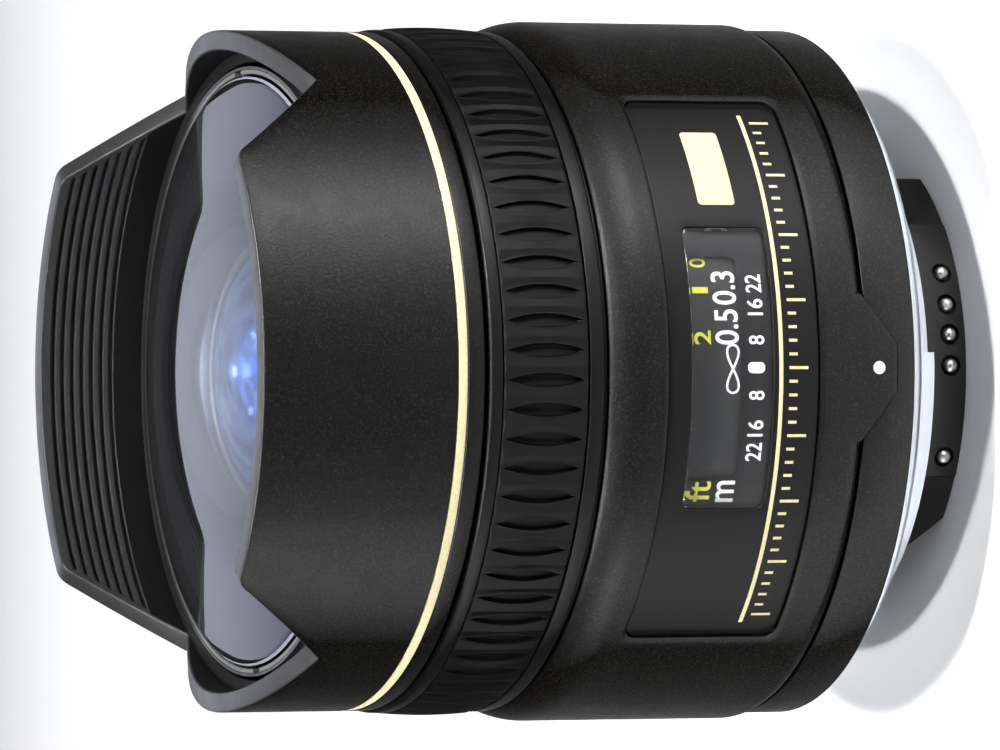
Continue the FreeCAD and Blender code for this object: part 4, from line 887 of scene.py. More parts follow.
class Paint:
    """The lens's own finishes."""

    HOOD = WrinklePaint("hood_wrinkle", (0.0028, 0.0025, 0.0021))
    BODY = WrinklePaint("body_wrinkle", (0.0028, 0.0025, 0.0021))
    RIM = SatinCoat("hood_rim_satin", (0.02, 0.02, 0.0205), 0.36, 0.36, fades=False)
    INSIDE = SatinCoat("hood_inside_matt", (0.04, 0.04, 0.039), 0.6, 0.2, fades=False)
    # The lower inner wall and floor ledge are darker than the ribbed inside: painted shade where little light
    # reaches.
    WALL_PAINTED_SHADE = SatinCoat("hood_wall_painted_shade", (0.006, 0.006, 0.006), 0.65, 0.12, fades=False)
    RING = SatinCoat("ring_satin", (0.0045, 0.0043, 0.004), 0.45, 0.3)
    PANEL = SatinCoat("panel_satin", (0.006, 0.0058, 0.0055), 0.42, 0.3)
    GRIP = MouldedRubber("ribbed_rubber", (0.0045, 0.0044, 0.0042))
    GOLD = PrintedInk("cream_gold", (0.82, 0.74, 0.44), 0.45)
    WHITE = PrintedInk("white_fill", (0.86, 0.87, 0.88))
    LIME = PrintedInk("feet_yellow", (0.72, 0.72, 0.08))
    MASK = SatinCoat("window_back_print", (0.004, 0.004, 0.0045), 0.35, 0.3)
    DRUM = SatinCoat("drum_matt", (0.022, 0.022, 0.022), 0.5, 0.3)
    CHROME = TurnedMetal("turned_chrome", (0.6, 0.64, 0.7), 0.17)
    STEEL = TurnedMetal("bright_steel", (0.72, 0.72, 0.72), 0.2, 0.05)
    CONTACT = TurnedMetal("contact_plating", (0.9, 0.89, 0.86), 0.3, 0.05)
    BRASS = TurnedMetal("turned_brass", (0.62, 0.45, 0.17), 0.3, 0.06)
    ANODISED = SatinCoat("tube_anodised", (0.012, 0.012, 0.013), 0.4, 0.4)
    BAFFLE = MouldedPlastic("baffle_moulded", (0.014, 0.0138, 0.013), 0.48, 0.35)
    BLOCK = MouldedPlastic("contact_block_moulded", (0.013, 0.0128, 0.012), 0.4, 0.4)
    CELL = SatinCoat("cell_black", (0.016, 0.016, 0.016), 0.42, 0.4, fades=False)
    EDGE = SatinCoat("blackened_edge", (0.004, 0.004, 0.004), 0.7, 0.1)
    # The chamfer is ground glass, and its pale bluish colour is also a painted highlight line round the
    # glass's rim.
    CHAMFER = SatinCoat("ground_chamfer_and_painted_highlight", (0.16, 0.16, 0.2), 0.6, 0.25, fades=False)
    RETAINER = SatinCoat("retaining_ring_grey", (0.055, 0.055, 0.053), 0.4, 0.45, fades=False)
    FLEX = MouldedPlastic("flex_film", (0.45, 0.21, 0.035), 0.35, 0.5, 0.4)
    BOARD = MouldedPlastic("board_lacquer", (0.012, 0.11, 0.05), 0.3, 0.5, 0.3)
    BLADE = SatinCoat("blade_blackened", (0.02, 0.02, 0.021), 0.38, 0.45)
    FRONT_GLASS = CoatedGlass("front_glass", (0.8, 0.84, 0.95), (0.74, 0.8, 1.0), 1.75)
    BOWL = CoatedGlass("bowl_coating", (0.8, 0.86, 1.0), (0.4, 0.55, 1.0), 1.75, 0.08)
    INNER_GLASS = CoatedGlass("inner_glass", (0.45, 0.6, 0.95), (0.3, 0.5, 1.0), 1.9, 0.22)
    REAR_GLASS = CoatedGlass("rear_glass", (0.9, 0.96, 0.92), (0.6, 1.0, 0.75), 1.6)
    WINDOW = ClearWindow("window_acrylic", (0.97, 0.98, 1.0))


def fitted(piece: bpy.types.Object, body: Body, slot: Slot, finish: Finish, *nodes: str,
           others: Sequence[Finish] = ()) -> None:
    """Gives a piece its finish, its body and the CAD nodes that it stands for.

    Args:
        piece: The piece.
        body: Body that it rides on.
        slot: Material slot of the record; not used.
        finish: Its finish.
        nodes: CAD nodes that it replaces.
        others: Finishes of its further zones.
    """
    for one in (finish, *others):
        piece.data.materials.append(one.material())
    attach(piece, body.value)
    if nodes:
        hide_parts(*nodes)
    LOG.info("%s: %d faces on %s", piece.name, len(piece.data.polygons), body.value)


# Printed marks


@dataclass(frozen=True)
class Mark:
    """A figure printed on a cylinder: its text, middle and size.

    The weight widens the font's strokes, in units of its letter height.
    """

    text: str
    turn: float
    height: float
    tall: float
    wide: float
    weight: float = 0.012
    smooth: int = 6

    def flat(self) -> tuple[np.ndarray, list[list[int]]]:
        """The text as a flat mesh, scaled to its size about its middle.

        Returns:
            (across, up) points in mm, and the faces between them.
        """
        curve = bpy.data.curves.new("mark", "FONT")
        curve.body = self.text
        curve.offset = self.weight
        curve.resolution_u = self.smooth
        holder = bpy.data.objects.new("mark", curve)
        mesh = bpy.data.meshes.new_from_object(holder)
        points = np.empty(len(mesh.vertices) * 3, np.float32)
        mesh.vertices.foreach_get("co", points)
        points = points.reshape(-1, 3)[:, :2].astype(float)
        faces = [list(face.vertices) for face in mesh.polygons]
        bpy.data.objects.remove(holder)
        bpy.data.curves.remove(curve)
        bpy.data.meshes.remove(mesh)
        low, high = points.min(0), points.max(0)
        return (points - (low + high) / 2) / (high - low) * (self.wide, self.tall), faces

    def laid(self, radius: float) -> tuple[np.ndarray, list[list[int]]]:
        """The mark on its cylinder: across over the radius turns it, up raises it.

        Args:
            radius: Radius of the cylinder, in mm.

        Returns:
            Points in mm and faces.
        """
        flat, faces = self.flat()
        return around(radius, self.turn + np.degrees(flat[:, 0] / radius), self.height + flat[:, 1]), faces


@dataclass(frozen=True)
class Infinity(Mark):
    """Lying figure eight, drawn as a stroke."""

    stroke: float = 0.2
    steps: int = 96

    def flat(self) -> tuple[np.ndarray, list[list[int]]]:
        """Stroke of even width along (a cos t, b sin 2t), offset both ways along its normal.

        Returns:
            (across, up) points in mm, and the faces between them.
        """
        t = np.linspace(0, 2 * math.pi, self.steps, endpoint=False)
        half_wide, half_tall = (self.wide - self.stroke) / 2, (self.tall - self.stroke) / 2
        line = np.stack([half_wide * np.cos(t), half_tall * np.sin(2 * t)], 1)
        along = np.stack([-half_wide * np.sin(t), 2 * half_tall * np.cos(2 * t)], 1)
        along /= np.linalg.norm(along, axis=1, keepdims=True)
        side = np.stack([-along[:, 1], along[:, 0]], 1) * self.stroke / 2
        points = np.concatenate([line - side, line + side])
        first = np.arange(self.steps)
        after = np.roll(first, -1)
        return points, np.stack([first, after, after + self.steps, first + self.steps], 1).tolist()


def linked(name: str, points: np.ndarray, faces: list[list[int]]) -> bpy.types.Object:
    """Object of flat faces between points.

    Args:
        name: Name of the piece.
        points: The points, in mm.
        faces: Point numbers of each face.

    Returns:
        The linked object, at the origin.
    """
    mesh = bpy.data.meshes.new(name)
    mesh.from_pydata((points * MM).tolist(), [], faces)
    mesh.update()
    piece = bpy.data.objects.new(name, mesh)
    bpy.context.scene.collection.objects.link(piece)
    return piece


def printed(name: str, marks: Sequence[Mark], radius: float) -> bpy.types.Object:
    """One piece of several marks on a cylinder, as a film with a thickness.

    Args:
        name: Name of the piece.
        marks: The marks.
        radius: Radius of the film's underside, in mm.

    Returns:
        The linked object.
    """
    points, faces, start = [], [], 0
    for mark in marks:
        spots, sides = mark.laid(radius)
        points.append(spots)
        faces += [[corner + start for corner in side] for side in sides]
        start += len(spots)
    piece = linked(name, np.concatenate(points), faces)
    solid = piece.modifiers.new("film", "SOLIDIFY")
    solid.thickness = FILM * MM
    solid.offset = 1.0
    return piece


def tick_row(name: str, turns: np.ndarray, low: np.ndarray, high: np.ndarray,
             wide: float, radius: float) -> bpy.types.Object:
    """Row of upright ticks on a cylinder, each a box with four sides, a top and an underside.

    Args:
        name: Name of the piece.
        turns: Turn of each tick, in degrees.
        low: Lower end of each, in mm.
        high: Upper end of each, in mm.
        wide: Width of a tick, in mm.
        radius: Radius of the underside, in mm.

    Returns:
        The linked object.
    """
    half = math.degrees(wide / 2 / radius)
    across = np.array([-half, half, half, -half])
    heights = np.stack([low, low, high, high], 1)
    layers = [around(level, turns[:, None] + across, heights) for level in (radius, radius + FILM)]
    points = np.concatenate(layers, axis=1).reshape(-1, 3)
    box = np.array([[3, 2, 1, 0], [4, 5, 6, 7], [0, 1, 5, 4], [1, 2, 6, 5], [2, 3, 7, 6], [3, 0, 4, 7]])
    faces = (box[None] + 8 * np.arange(len(turns))[:, None, None]).reshape(-1, 4)
    return linked(name, points, faces.tolist())


# Hood


@dataclass
class PetalHood:
    """Hood barrel with two tall and two low petals, ribbed inside, with its gold line.

    The grooves between the ribs run out over rib_fade below the smooth band along the rim.
    """

    outer: float = 30.39
    bore: float = 28.59
    floor_bore: float = 27.57
    rear: float = 41.95
    front: float = 62.48
    notch: float = 52.48
    floor: float = 52.6
    petal_top_half: float = 18.7
    petal_notch_half: float = 25.4
    petal_corner: float = 1.4
    side_rise: float = 3.4
    side_half: float = 16.86
    ribs: int = 7
    rib_first: float = 0.95
    rib_pitch: float = 0.93
    rib_groove: float = 0.43
    rib_depth: float = 0.45
    rib_round: float = 0.06
    rim: float = 0.22
    rim_band: float = 0.72
    rib_fade: float = 0.2
    lip: float = 0.3
    wall_start: float = 46.0
    wall_rows: int = 9
    ledge_round: float = 0.15
    foot_round: float = 0.1
    gold_low: float = 43.56
    gold_wide: float = 0.96
    gold_depth: float = 0.5
    gold_lead: float = 0.06
    gold_play: float = 0.02
    gold_sunk: float = 0.05
    gold_round: float = 0.12
    columns: int = 1080

    def outline(self, radius: np.ndarray, turn: np.ndarray) -> np.ndarray:
        """Height of the petals' edge.

        A tall petal is a flat top, a fillet and a straight side seen along Y, cut towards the
        axis, so that its wall's edge is level; a low one is a circular arc seen along X; between
        them is the notch.

        Args:
            radius: Distance from the axis, in mm.
            turn: Angles, in degrees.

        Returns:
            Heights, in mm.
        """
        x = np.abs(self.outer * np.sin(np.radians(turn)))
        y = np.abs(radius * np.cos(np.radians(turn)))
        fall = (self.front - self.notch) / (self.petal_notch_half - self.petal_top_half)
        slope = math.atan(fall)
        start = self.petal_top_half - self.petal_corner * math.tan(slope / 2)
        end = start + self.petal_corner * math.sin(slope)
        fillet = self.front - bulge(self.petal_corner, np.clip(x - start, 0, self.petal_corner))
        side = self.front - (x - self.petal_top_half) * fall
        tall = np.where(x < start, self.front, np.where(x < end, fillet, side))
        curve = (self.side_half ** 2 + self.side_rise ** 2) / (2 * self.side_rise)
        arc = self.notch + self.side_rise - bulge(curve, np.minimum(y, self.side_half))
        low = np.where(y < self.side_half, arc, 0)
        return np.maximum(np.maximum(tall, low), self.notch)

    def run_out(self, top: np.ndarray, height: float) -> np.ndarray:
        """Share of a groove's depth at a height: none within the rim's band, whole past its end.

        With a the slope of the petals' edge, the distance from the edge is (edge - height) cos a.

        Args:
            top: Height of the petals' edge in each column, in mm.
            height: Height of the row, in mm.

        Returns:
            Shares from 0 to 1.
        """
        slope = np.gradient(top) / (self.bore * 2 * math.pi / self.columns)
        return np.clip(((top - height) / np.hypot(1, slope) - self.rim_band) / self.rib_fade, 0, 1)

    def inner_rows(self) -> tuple[np.ndarray, np.ndarray]:
        """Rows down the inner wall: six for each groove, with rounded lands.

        Returns:
            Radius and height of each row, in mm.
        """
        top = self.front - self.rib_first - self.rib_pitch * np.arange(self.ribs)[:, None]
        deep, edge, gap = self.bore + self.rib_depth, self.rib_round, self.rib_groove
        radii = np.array([self.bore, self.bore + edge, deep, deep, self.bore + edge, self.bore])
        drops = np.array([edge, 0, 0, -gap, -gap, -gap - edge])
        heights = (top + drops).ravel()
        return np.tile(radii, self.ribs), heights

    def build(self) -> None:
        """Makes the hood and its gold line."""
        fitted(self.shell(), Body.BARREL, Slot.HOOD, Paint.HOOD, "hood_barrel",
               others=[Paint.RIM, Paint.INSIDE, Paint.WALL_PAINTED_SHADE])
        fitted(self.gold_line(), Body.BARREL, Slot.GOLD, Paint.GOLD, "gold_ring")

    def outside(self) -> list[tuple[float, float]]:
        """Outside below the petals: foot, rounded corner and the gold line's groove.

        Returns:
            Radius and height of each row, in mm.
        """
        outer, sunk = self.outer, self.outer - self.gold_depth
        low, high = self.gold_low, self.gold_low + self.gold_wide
        foot = [(self.floor_bore, self.rear), (outer - self.lip, self.rear),
                (outer - self.lip * 0.3, self.rear + self.lip * 0.3), (outer, self.rear + self.lip)]
        groove = [(outer, low - self.gold_lead), (outer - self.gold_lead, low), (sunk, low),
                  (sunk, high), (outer - self.gold_lead, high), (outer, high + self.gold_lead)]
        return foot + groove

    def rim_rows(self, wall: float, side: int, turn: np.ndarray, top: np.ndarray,
                 angles: Sequence[float]) -> list[np.ndarray]:
        """Rows over the rounded rim: radius = wall + side r (1 - cos t), height = top + r sin t.

        Args:
            wall: Radius of the wall that the rim ends, in mm.
            side: 1 on the inner wall, -1 on the outer.
            turn: Angles of the columns, in degrees.
            top: Height at which the rounding starts in each column, in mm.
            angles: The values of t, in degrees.

        Returns:
            The rows of points.
        """
        rows = []
        for angle in np.radians(angles):
            radius = wall + side * self.rim * (1 - math.cos(angle))
            rows.append(around(radius, turn, top + self.rim * math.sin(angle)))
        return rows

    def shell(self) -> bpy.types.Object:
        """The hood as one closed grid, whose upper rows follow the petals' edge.

        Rows go up the outside, over the rounded rim, and down the ribbed inside, where a row
        above the edge falls on to it. The floor and the underside close it.

        Returns:
            The linked object.
        """
        turn = np.linspace(0, 360, self.columns, endpoint=False)
        outer_top = self.outline(self.outer, turn) - self.rim
        inner_top = self.outline(self.bore, turn) - self.rim
        outside = [around(radius, turn, height) for radius, height in self.outside()]
        for share in np.linspace(0, 1, self.wall_rows):
            outside.append(around(self.outer, turn, self.wall_start + (outer_top - self.wall_start) * share))
        rim = self.rim_rows(self.outer, -1, turn, outer_top, (22.5, 45, 67.5, 90))
        rim += self.rim_rows(self.bore, 1, turn, inner_top, (90, 67.5, 45, 22.5, 0))
        ribbed = []
        for radius, height in zip(*self.inner_rows()):
            deep = self.bore + (radius - self.bore) * self.run_out(inner_top + self.rim, height)
            ribbed.append(around(deep, turn, np.minimum(height, inner_top)))
        low = np.minimum(self.floor + self.ledge_round, inner_top)
        wall = [around(self.bore, turn, low), around(self.bore - self.ledge_round, turn, self.floor),
                around(self.floor_bore + self.foot_round, turn, self.floor),
                around(self.floor_bore, turn, self.floor - self.foot_round)]
        rows = outside + rim + ribbed + wall
        # The rim's finish starts at its first row, the ribs' at the rim's last, the wall's at the ribs' last;
        # the wall's finish is a darker copy of the inside's, painted shade.
        zones = np.repeat(range(4), [len(outside), len(rim) - 1, len(ribbed), len(wall) + 1])
        return shaped("petal_hood", Lattice(np.stack(rows), close_rows=True, close_columns=True, zones=zones))

    def gold_line(self) -> bpy.types.Object:
        """Filled line in its groove, with rounded edges.

        Returns:
            The linked object.
        """
        low, high = self.gold_low + self.gold_play, self.gold_low + self.gold_wide - self.gold_play
        face, floor = self.outer - self.gold_sunk, self.outer - self.gold_depth + self.gold_play
        corners = [(floor, low, 0), (face, low, self.gold_round),
                   (face, high, self.gold_round), (floor, high, 0)]
        return revolved("gold_line", rounded_profile(corners))


# Focus ring


@dataclass
class FocusUnit:
    """Focus ring with its ribbed rubber, and the distance drum with its figures.

    Gaps are the boat-shaped hollows between the rubber's ribs, and phase is the first one's turn.
    """

    lip: float = 30.6
    seat: float = 30.06
    bore: float = 28.9
    drum_seat: float = 29.92
    rear: float = 30.78
    grip_rear: float = 32.23
    grip_front: float = 40.43
    front: float = 41.6
    drum_step: float = 32.98
    lip_round: float = 0.3
    seat_round: float = 0.08
    bore_round: float = 0.1
    grip_outer: float = 30.78
    grip_gap: float = 0.1
    grip_under: float = 0.02
    grip_round: float = 0.22
    grip_crease: float = 26.0
    grip_rows: int = 33
    crown: float = 0.18
    gaps: int = 74
    phase: float = 2.87
    gap_wide: float = 1.25
    gap_long: float = 7.3
    gap_deep: float = 0.5
    gap_least: float = 0.012
    gap_lip: float = 0.05
    ridge: float = 0.18
    drum_outer: float = 29.9
    drum_bore: float = 29.2
    drum_rear: float = 13.98
    drum_front: float = 32.96
    drum_round: float = 0.1
    metre_row: float = 19.17
    metre_tall: float = 2.25
    feet_row: float = 21.4
    feet_tall: float = 1.45

    def build(self) -> None:
        """Makes the ring, the rubber, the drum and its figures."""
        fitted(self.ring(), Body.FOCUS, Slot.BODY, Paint.RING, "focus_ring")
        fitted(self.grip(), Body.FOCUS, Slot.RUBBER, Paint.GRIP, "focus_grip")
        fitted(self.drum(), Body.FOCUS, Slot.ANODISED, Paint.DRUM, "distance_drum")
        film = self.drum_outer + FILM_GAP
        fitted(printed("metre_figures", self.metres(), film), Body.FOCUS, Slot.WHITE, Paint.WHITE)
        fitted(printed("feet_figures", self.feet(), film), Body.FOCUS, Slot.WHITE, Paint.LIME)

    def metres(self) -> list[Mark]:
        """Distances in metres; those past 0.3 come under the window as the ring turns.

        Returns:
            The figures.
        """
        row, tall = self.metre_row, self.metre_tall
        return [Mark("0.3", 13.4, row, tall, 2.97), Mark("0.5", 6.8, row - 0.03, tall, 3.08),
                Infinity("inf", -0.2, row - 0.54, 1.3, 4.36), Mark("0.2", 25.6, row, tall, 2.97),
                Mark("0.16", 39.6, row, tall, 4.1), Mark("0.14", 50.0, row, tall, 4.1)]

    def feet(self) -> list[Mark]:
        """Distances in feet; those past 0.8 come under the window as the ring turns.

        Returns:
            The figures.
        """
        row, tall = self.feet_row, self.feet_tall
        return [Mark("0.8", 19.0, row, tall, 2.2), Mark("1", 13.0, row - 0.01, tall, 0.55),
                Mark("2", 5.0, row + 0.04, 1.5, 1.23), Mark("0.6", 30.1, row, tall, 2.2),
                Mark("0.5", 44.5, row, tall, 2.2)]

    def ring(self) -> bpy.types.Object:
        """Ring with a lip each side of the rubber's seat and a wider bore over the drum.

        Returns:
            The linked object.
        """
        corners = [(self.drum_seat, self.rear, 0), (self.lip, self.rear, self.lip_round),
                   (self.lip, self.grip_rear, self.seat_round), (self.seat, self.grip_rear, 0),
                   (self.seat, self.grip_front, 0), (self.lip, self.grip_front, self.seat_round),
                   (self.lip, self.front, self.lip_round), (self.bore, self.front, self.bore_round),
                   (self.bore, self.drum_step, 0), (self.drum_seat, self.drum_step, 0)]
        return revolved("focus_ring_body", rounded_profile(corners))

    def cell(self, z: np.ndarray, half: float) -> tuple[np.ndarray, np.ndarray]:
        """One gap and the land after it.

        The gap's half width is wide / 2 (1 - (z / tip)^2), and its floor lies deeper where it
        is wider. The land is crowned, radius = outer - crown (z / half)^2, rounded at the
        band's ends, and rises as a roof from the gap's edge to a ridge.

        Args:
            z: Heights of the rows above the band's middle, in mm.
            half: Half of the band's length, in mm.

        Returns:
            Arc length and radius of each point of each row, in mm.
        """
        tip = self.gap_long / 2
        end = np.clip((half - np.abs(z)) / self.grip_round, 0, 1)
        fall = self.grip_round * (1 - np.sqrt(1 - (1 - end) ** 2))
        land = self.grip_outer - self.crown * (z / half) ** 2 - fall
        opened = np.maximum(self.gap_wide / 2 * (1 - (z / tip) ** 2), self.gap_least)
        depth = self.gap_deep * np.clip(opened / (self.gap_wide / 2) * 3.0, 0.03, 1)
        # Places across the gap as shares of its half width, and how deep its floor is there.
        gap = np.array([-1.0, -0.94, -0.8, -0.4, 0.0, 0.4, 0.8, 0.94, 1.0])
        floor = np.array([0.0, 0.55, 0.95, 1.0, 1.0, 1.0, 0.95, 0.55, 0.0])
        # Places over the land as shares of its width, and how high its roof is there.
        run = np.array([0.07, 0.2, 0.36, 0.42, 0.48, 0.64, 0.8, 0.93])
        roof = np.interp(run, [0, 0.07, 0.42, 0.93, 1.0], [0.1, 0.2, 1.0, 0.2, 0.1])
        pitch = 2 * math.pi * self.grip_outer / self.gaps
        gap_x = opened[:, None] * gap[None]
        gap_r = land[:, None] - self.gap_lip * (1 - floor) - depth[:, None] * floor
        land_x = opened[:, None] + (pitch - 2 * opened)[:, None] * run[None]
        land_r = land[:, None] + (self.ridge * (roof - 0.6))[None] * end[:, None]
        return np.concatenate([gap_x, land_x], 1), np.concatenate([gap_r, land_r], 1)

    def grip(self) -> bpy.types.Object:
        """Rubber band of one cell for each rib, whose grid lines follow the boat-shaped gaps.

        Returns:
            The linked object.
        """
        half = (self.grip_front - self.grip_rear) / 2 - self.grip_gap
        middle = (self.grip_front + self.grip_rear) / 2
        near = np.array([0.0, 0.03, 0.1, 0.2])
        along = self.gap_long / 2 * np.sin(np.radians(np.linspace(-90, 90, self.grip_rows)))
        z = np.concatenate([near - half, along, (half - near)[::-1]])
        across, radius = self.cell(z, half)
        across = np.degrees(across / self.grip_outer)
        turns = self.phase + 360 / self.gaps * np.arange(self.gaps)
        across = (turns[None, :, None] + across[:, None, :]).reshape(len(z), -1)
        radius = np.repeat(radius[:, None, :], self.gaps, axis=1).reshape(len(z), -1)
        top = around(radius, across, (z + middle)[:, None])
        under = [around(self.seat + self.grip_under, across[row], z[row] + middle) for row in (-1, 0)]
        band = Lattice(np.concatenate([top, np.stack(under)]), close_rows=True, close_columns=True)
        return shaped("grip_rubber", band, crease=math.radians(self.grip_crease))

    def drum(self) -> bpy.types.Object:
        """Thin drum that carries the distance figures under the window.

        Returns:
            The linked object.
        """
        corners = [(self.drum_bore, self.drum_rear, 0), (self.drum_outer, self.drum_rear, self.drum_round),
                   (self.drum_outer, self.drum_front, self.drum_round), (self.drum_bore, self.drum_front, 0)]
        return revolved("distance_scale_drum", rounded_profile(corners))


# Main barrel


@dataclass
class MainBarrel:
    """Main barrel with the recess for the name panel, its tongue, the index and the rear cover.

    The recess's edge is eased through points given by their distance outside it and their depth.
    Frame rows are the spaces between outlines up to the recess, over its floor and under the bore.
    """

    outer: float = BARREL_OUTER
    bore: float = 30.2
    rear: float = 6.64
    front: float = 30.4
    shoulder_long: float = 3.6
    shoulder_drop: float = 1.1
    shoulder_edge: float = 0.12
    shoulder_rows: int = 14
    round_long: float = 1.06
    round_drop: float = 0.4
    round_edge: float = 0.05
    round_step: float = 0.08
    round_rows: int = 8
    recess: Sheet = patch(49.0, 10.81, 25.21, 1.2)
    recess_floor: float = 30.95
    recess_edge: tuple[tuple[float, float], ...] = ((0.08, 0.0), (0.02, 0.03), (0.0, 0.09))
    opening: Sheet = patch(23.3, 15.11, 22.91, 0.6)
    frame_turn: float = 56.0
    frame_rows: tuple[int, int, int] = (5, 14, 18)
    rest_columns: int = 125
    cover_outer: float = 31.03
    cover_rear: float = 1.5
    cover_front: float = 6.25
    spigot: float = 30.18
    spigot_bore: float = 29.38
    spigot_front: float = 9.45
    cover_bore: float = 29.55
    cover_lip: float = 28.2
    cover_floor: float = 2.9
    cover_seat: float = 1.9
    cover_rear_round: float = 0.25
    cover_front_round: float = 0.15
    cover_bore_round: float = 0.08
    tongue_low: float = 3.24
    tongue_wide: float = 12.3
    tongue_narrow: float = 3.7
    tongue_edge: float = 0.4
    tongue_foot: float = 0.02
    tongue_sunk: float = 0.005
    tongue_rows: int = 16
    tongue_columns: int = 25
    dot_radius: float = 0.76
    dot_height: float = 5.19
    dot_proud: float = 0.02
    dot_dome: float = 0.07
    dot_foot: float = 0.08
    dot_columns: int = 48

    def build(self) -> None:
        """Makes the barrel, the tongue, the cover and the index."""
        fitted(self.barrel(), Body.BARREL, Slot.BODY, Paint.BODY, "main_barrel")
        fitted(self.tongue(), Body.BARREL, Slot.BODY, Paint.BODY)
        fitted(self.cover(), Body.BARREL, Slot.BODY, Paint.BODY, "rear_cover")
        fitted(self.index(), Body.BARREL, Slot.WHITE, Paint.WHITE, "mount_index_dot")

    def barrel(self) -> bpy.types.Object:
        """Closed barrel of five grids that share their edge lines.

        A frame of outlines runs from a rectangle in to the recess, down its wall, over its floor,
        down the window's wall and back out under the bore; the rest of the tube, the shoulder
        and the rear round are plain grids on the same lines.

        Returns:
            The linked object.
        """
        low, high = self.rear + self.round_long, self.front - self.shoulder_long
        field = Sheet(math.radians(self.frame_turn) * self.outer, low, high, 0.0, self.outer)
        frame, hole = field.loop(), self.opening.loop()
        edge = [(self.recess.loop(-away), self.outer - sunk) for away, sunk in self.recess_edge]
        ahead, across, behind = self.frame_rows
        steps = [(line, self.outer) for line in (frame, *between(frame, edge[0][0], ahead))] + edge
        floor = [self.recess.loop(), *between(self.recess.loop(), hole, across), hole]
        steps += [(line, self.recess_floor) for line in floor]
        steps += [(line, self.bore) for line in (hole, *between(hole, frame, behind), frame)]
        panel = Lattice(self.recess.laid(steps), close_columns=True)
        rise = np.linspace(low, high, field.up + 1)[:, None]
        rest = np.linspace(self.frame_turn, 360 - self.frame_turn, self.rest_columns)
        lap = np.linspace(-self.frame_turn, self.frame_turn, field.across + 1)
        lap = np.concatenate([lap[:-1], rest[:-1]])
        outside = Lattice(around(self.outer, rest[None], rise))
        inside = Lattice(around(self.bore, rest[None], rise[::-1]))
        ends = [Lattice(around(line[:, :1], lap[None], line[:, 1:]), close_columns=True)
                for line in (self.shoulder(), self.rear_round())]
        return shaped("main_barrel_shell", panel, outside, inside, *ends)

    def shoulder(self) -> np.ndarray:
        """Front end: an arc falls to the edge, which is rounded, and the bore leads back.

        Returns:
            Array of (radius, height) rows.
        """
        start = self.front - self.shoulder_long
        foot, edge = self.outer - self.shoulder_drop, self.shoulder_edge
        curve = (self.shoulder_long ** 2 + self.shoulder_drop ** 2) / (2 * self.shoulder_drop)
        run = np.linspace(0, self.shoulder_long - edge, self.shoulder_rows)
        arc = np.stack([self.outer - bulge(curve, run), start + run], 1)
        tip = [(foot - edge / 2, self.front - edge / 6), (foot - edge - 0.02, self.front),
               (self.bore, self.front), (self.bore, start)]
        return np.concatenate([arc, tip])

    def rear_round(self) -> np.ndarray:
        """Rear end: from the bore over the end face and up a shallow round.

        Returns:
            Array of (radius, height) rows.
        """
        end = self.rear + self.round_long
        curve = (self.round_long ** 2 + self.round_drop ** 2) / (2 * self.round_drop)
        run = np.linspace(self.round_long - self.round_edge, 0, self.round_rows)
        arc = np.stack([self.outer - bulge(curve, run), end - run], 1)
        start = [(self.bore, end), (self.bore, self.rear),
                 (self.outer - self.round_drop - self.round_step, self.rear)]
        return np.concatenate([start, arc])

    def tongue(self) -> bpy.types.Object:
        """Tab over the rear cover: a grid that narrows to the rear, domed down at its free edges.

        With d the distance to the nearest free edge and w the width of the edge, the height
        above the cover is h sqrt(1 - (1 - d / w)^2).

        Returns:
            The linked object.
        """
        near = self.tongue_edge * np.array([0, 0.075, 0.2, 0.4, 0.675, 1.0])
        long = self.rear + self.round_long - self.tongue_low
        rest = np.linspace(1.5 * self.tongue_edge, long, self.tongue_rows)
        z = self.tongue_low + np.concatenate([near, rest])
        share = np.clip((z - self.tongue_low) / (self.rear - self.tongue_low), 0, 1)
        half = np.radians(self.tongue_narrow + (self.tongue_wide - self.tongue_narrow) * share) * self.outer
        side = 1 - near[:, None] / half[None]
        middle = np.linspace(-1, 1, self.tongue_columns)[1:-1, None] * side[-1:]
        u = np.concatenate([-side, middle, side[::-1]]).T
        from_side = (1 - np.abs(u)) * half[:, None]
        inset = np.minimum(from_side, (z - self.tongue_low)[:, None])
        inset = np.where(z[:, None] > self.rear, np.maximum(inset, from_side), inset)
        height = np.sqrt(np.maximum(1 - (1 - np.clip(inset / self.tongue_edge, 0, 1)) ** 2, 0))
        base = self.cover_outer + self.tongue_foot
        radius = base + (self.outer - self.tongue_sunk - base) * height
        turn = np.degrees(u * half[:, None] / self.outer)
        over = around(radius, turn, z[:, None])
        under = around(base - self.tongue_foot / 2, turn, z[:, None])[::-1]
        faces = Lattice(np.concatenate([over, under]), close_rows=True)
        sides = [self.tongue_side(over, under, column) for column in (0, -1)]
        return shaped("index_tongue", faces, *sides)

    @staticmethod
    def tongue_side(over: np.ndarray, under: np.ndarray, column: int) -> Lattice:
        """Thin wall that joins the top and the underside along one side of the tongue.

        Args:
            over: Points of the top.
            under: Points of the underside, its rows the other way round.
            column: 0 for the first side, -1 for the last.

        Returns:
            The wall's grid.
        """
        top, foot = over[:, column], under[::-1, column]
        return Lattice(np.stack([top, foot] if column else [foot, top], axis=1))

    def cover(self) -> bpy.types.Object:
        """Rear cover: skirt, spigot inside the barrel and lip round the mount.

        Returns:
            The linked object.
        """
        corners = [(self.cover_bore, self.cover_rear, self.cover_bore_round),
                   (self.cover_outer, self.cover_rear, self.cover_rear_round),
                   (self.cover_outer, self.cover_front, self.cover_front_round),
                   (self.spigot, self.cover_front, 0),
                   (self.spigot, self.spigot_front, 0), (self.spigot_bore, self.spigot_front, 0),
                   (self.spigot_bore, self.cover_floor, 0), (self.cover_lip, self.cover_floor, 0),
                   (self.cover_lip, self.cover_seat, 0), (self.cover_bore, self.cover_seat, 0)]
        return revolved("rear_cover_skirt", rounded_profile(corners))

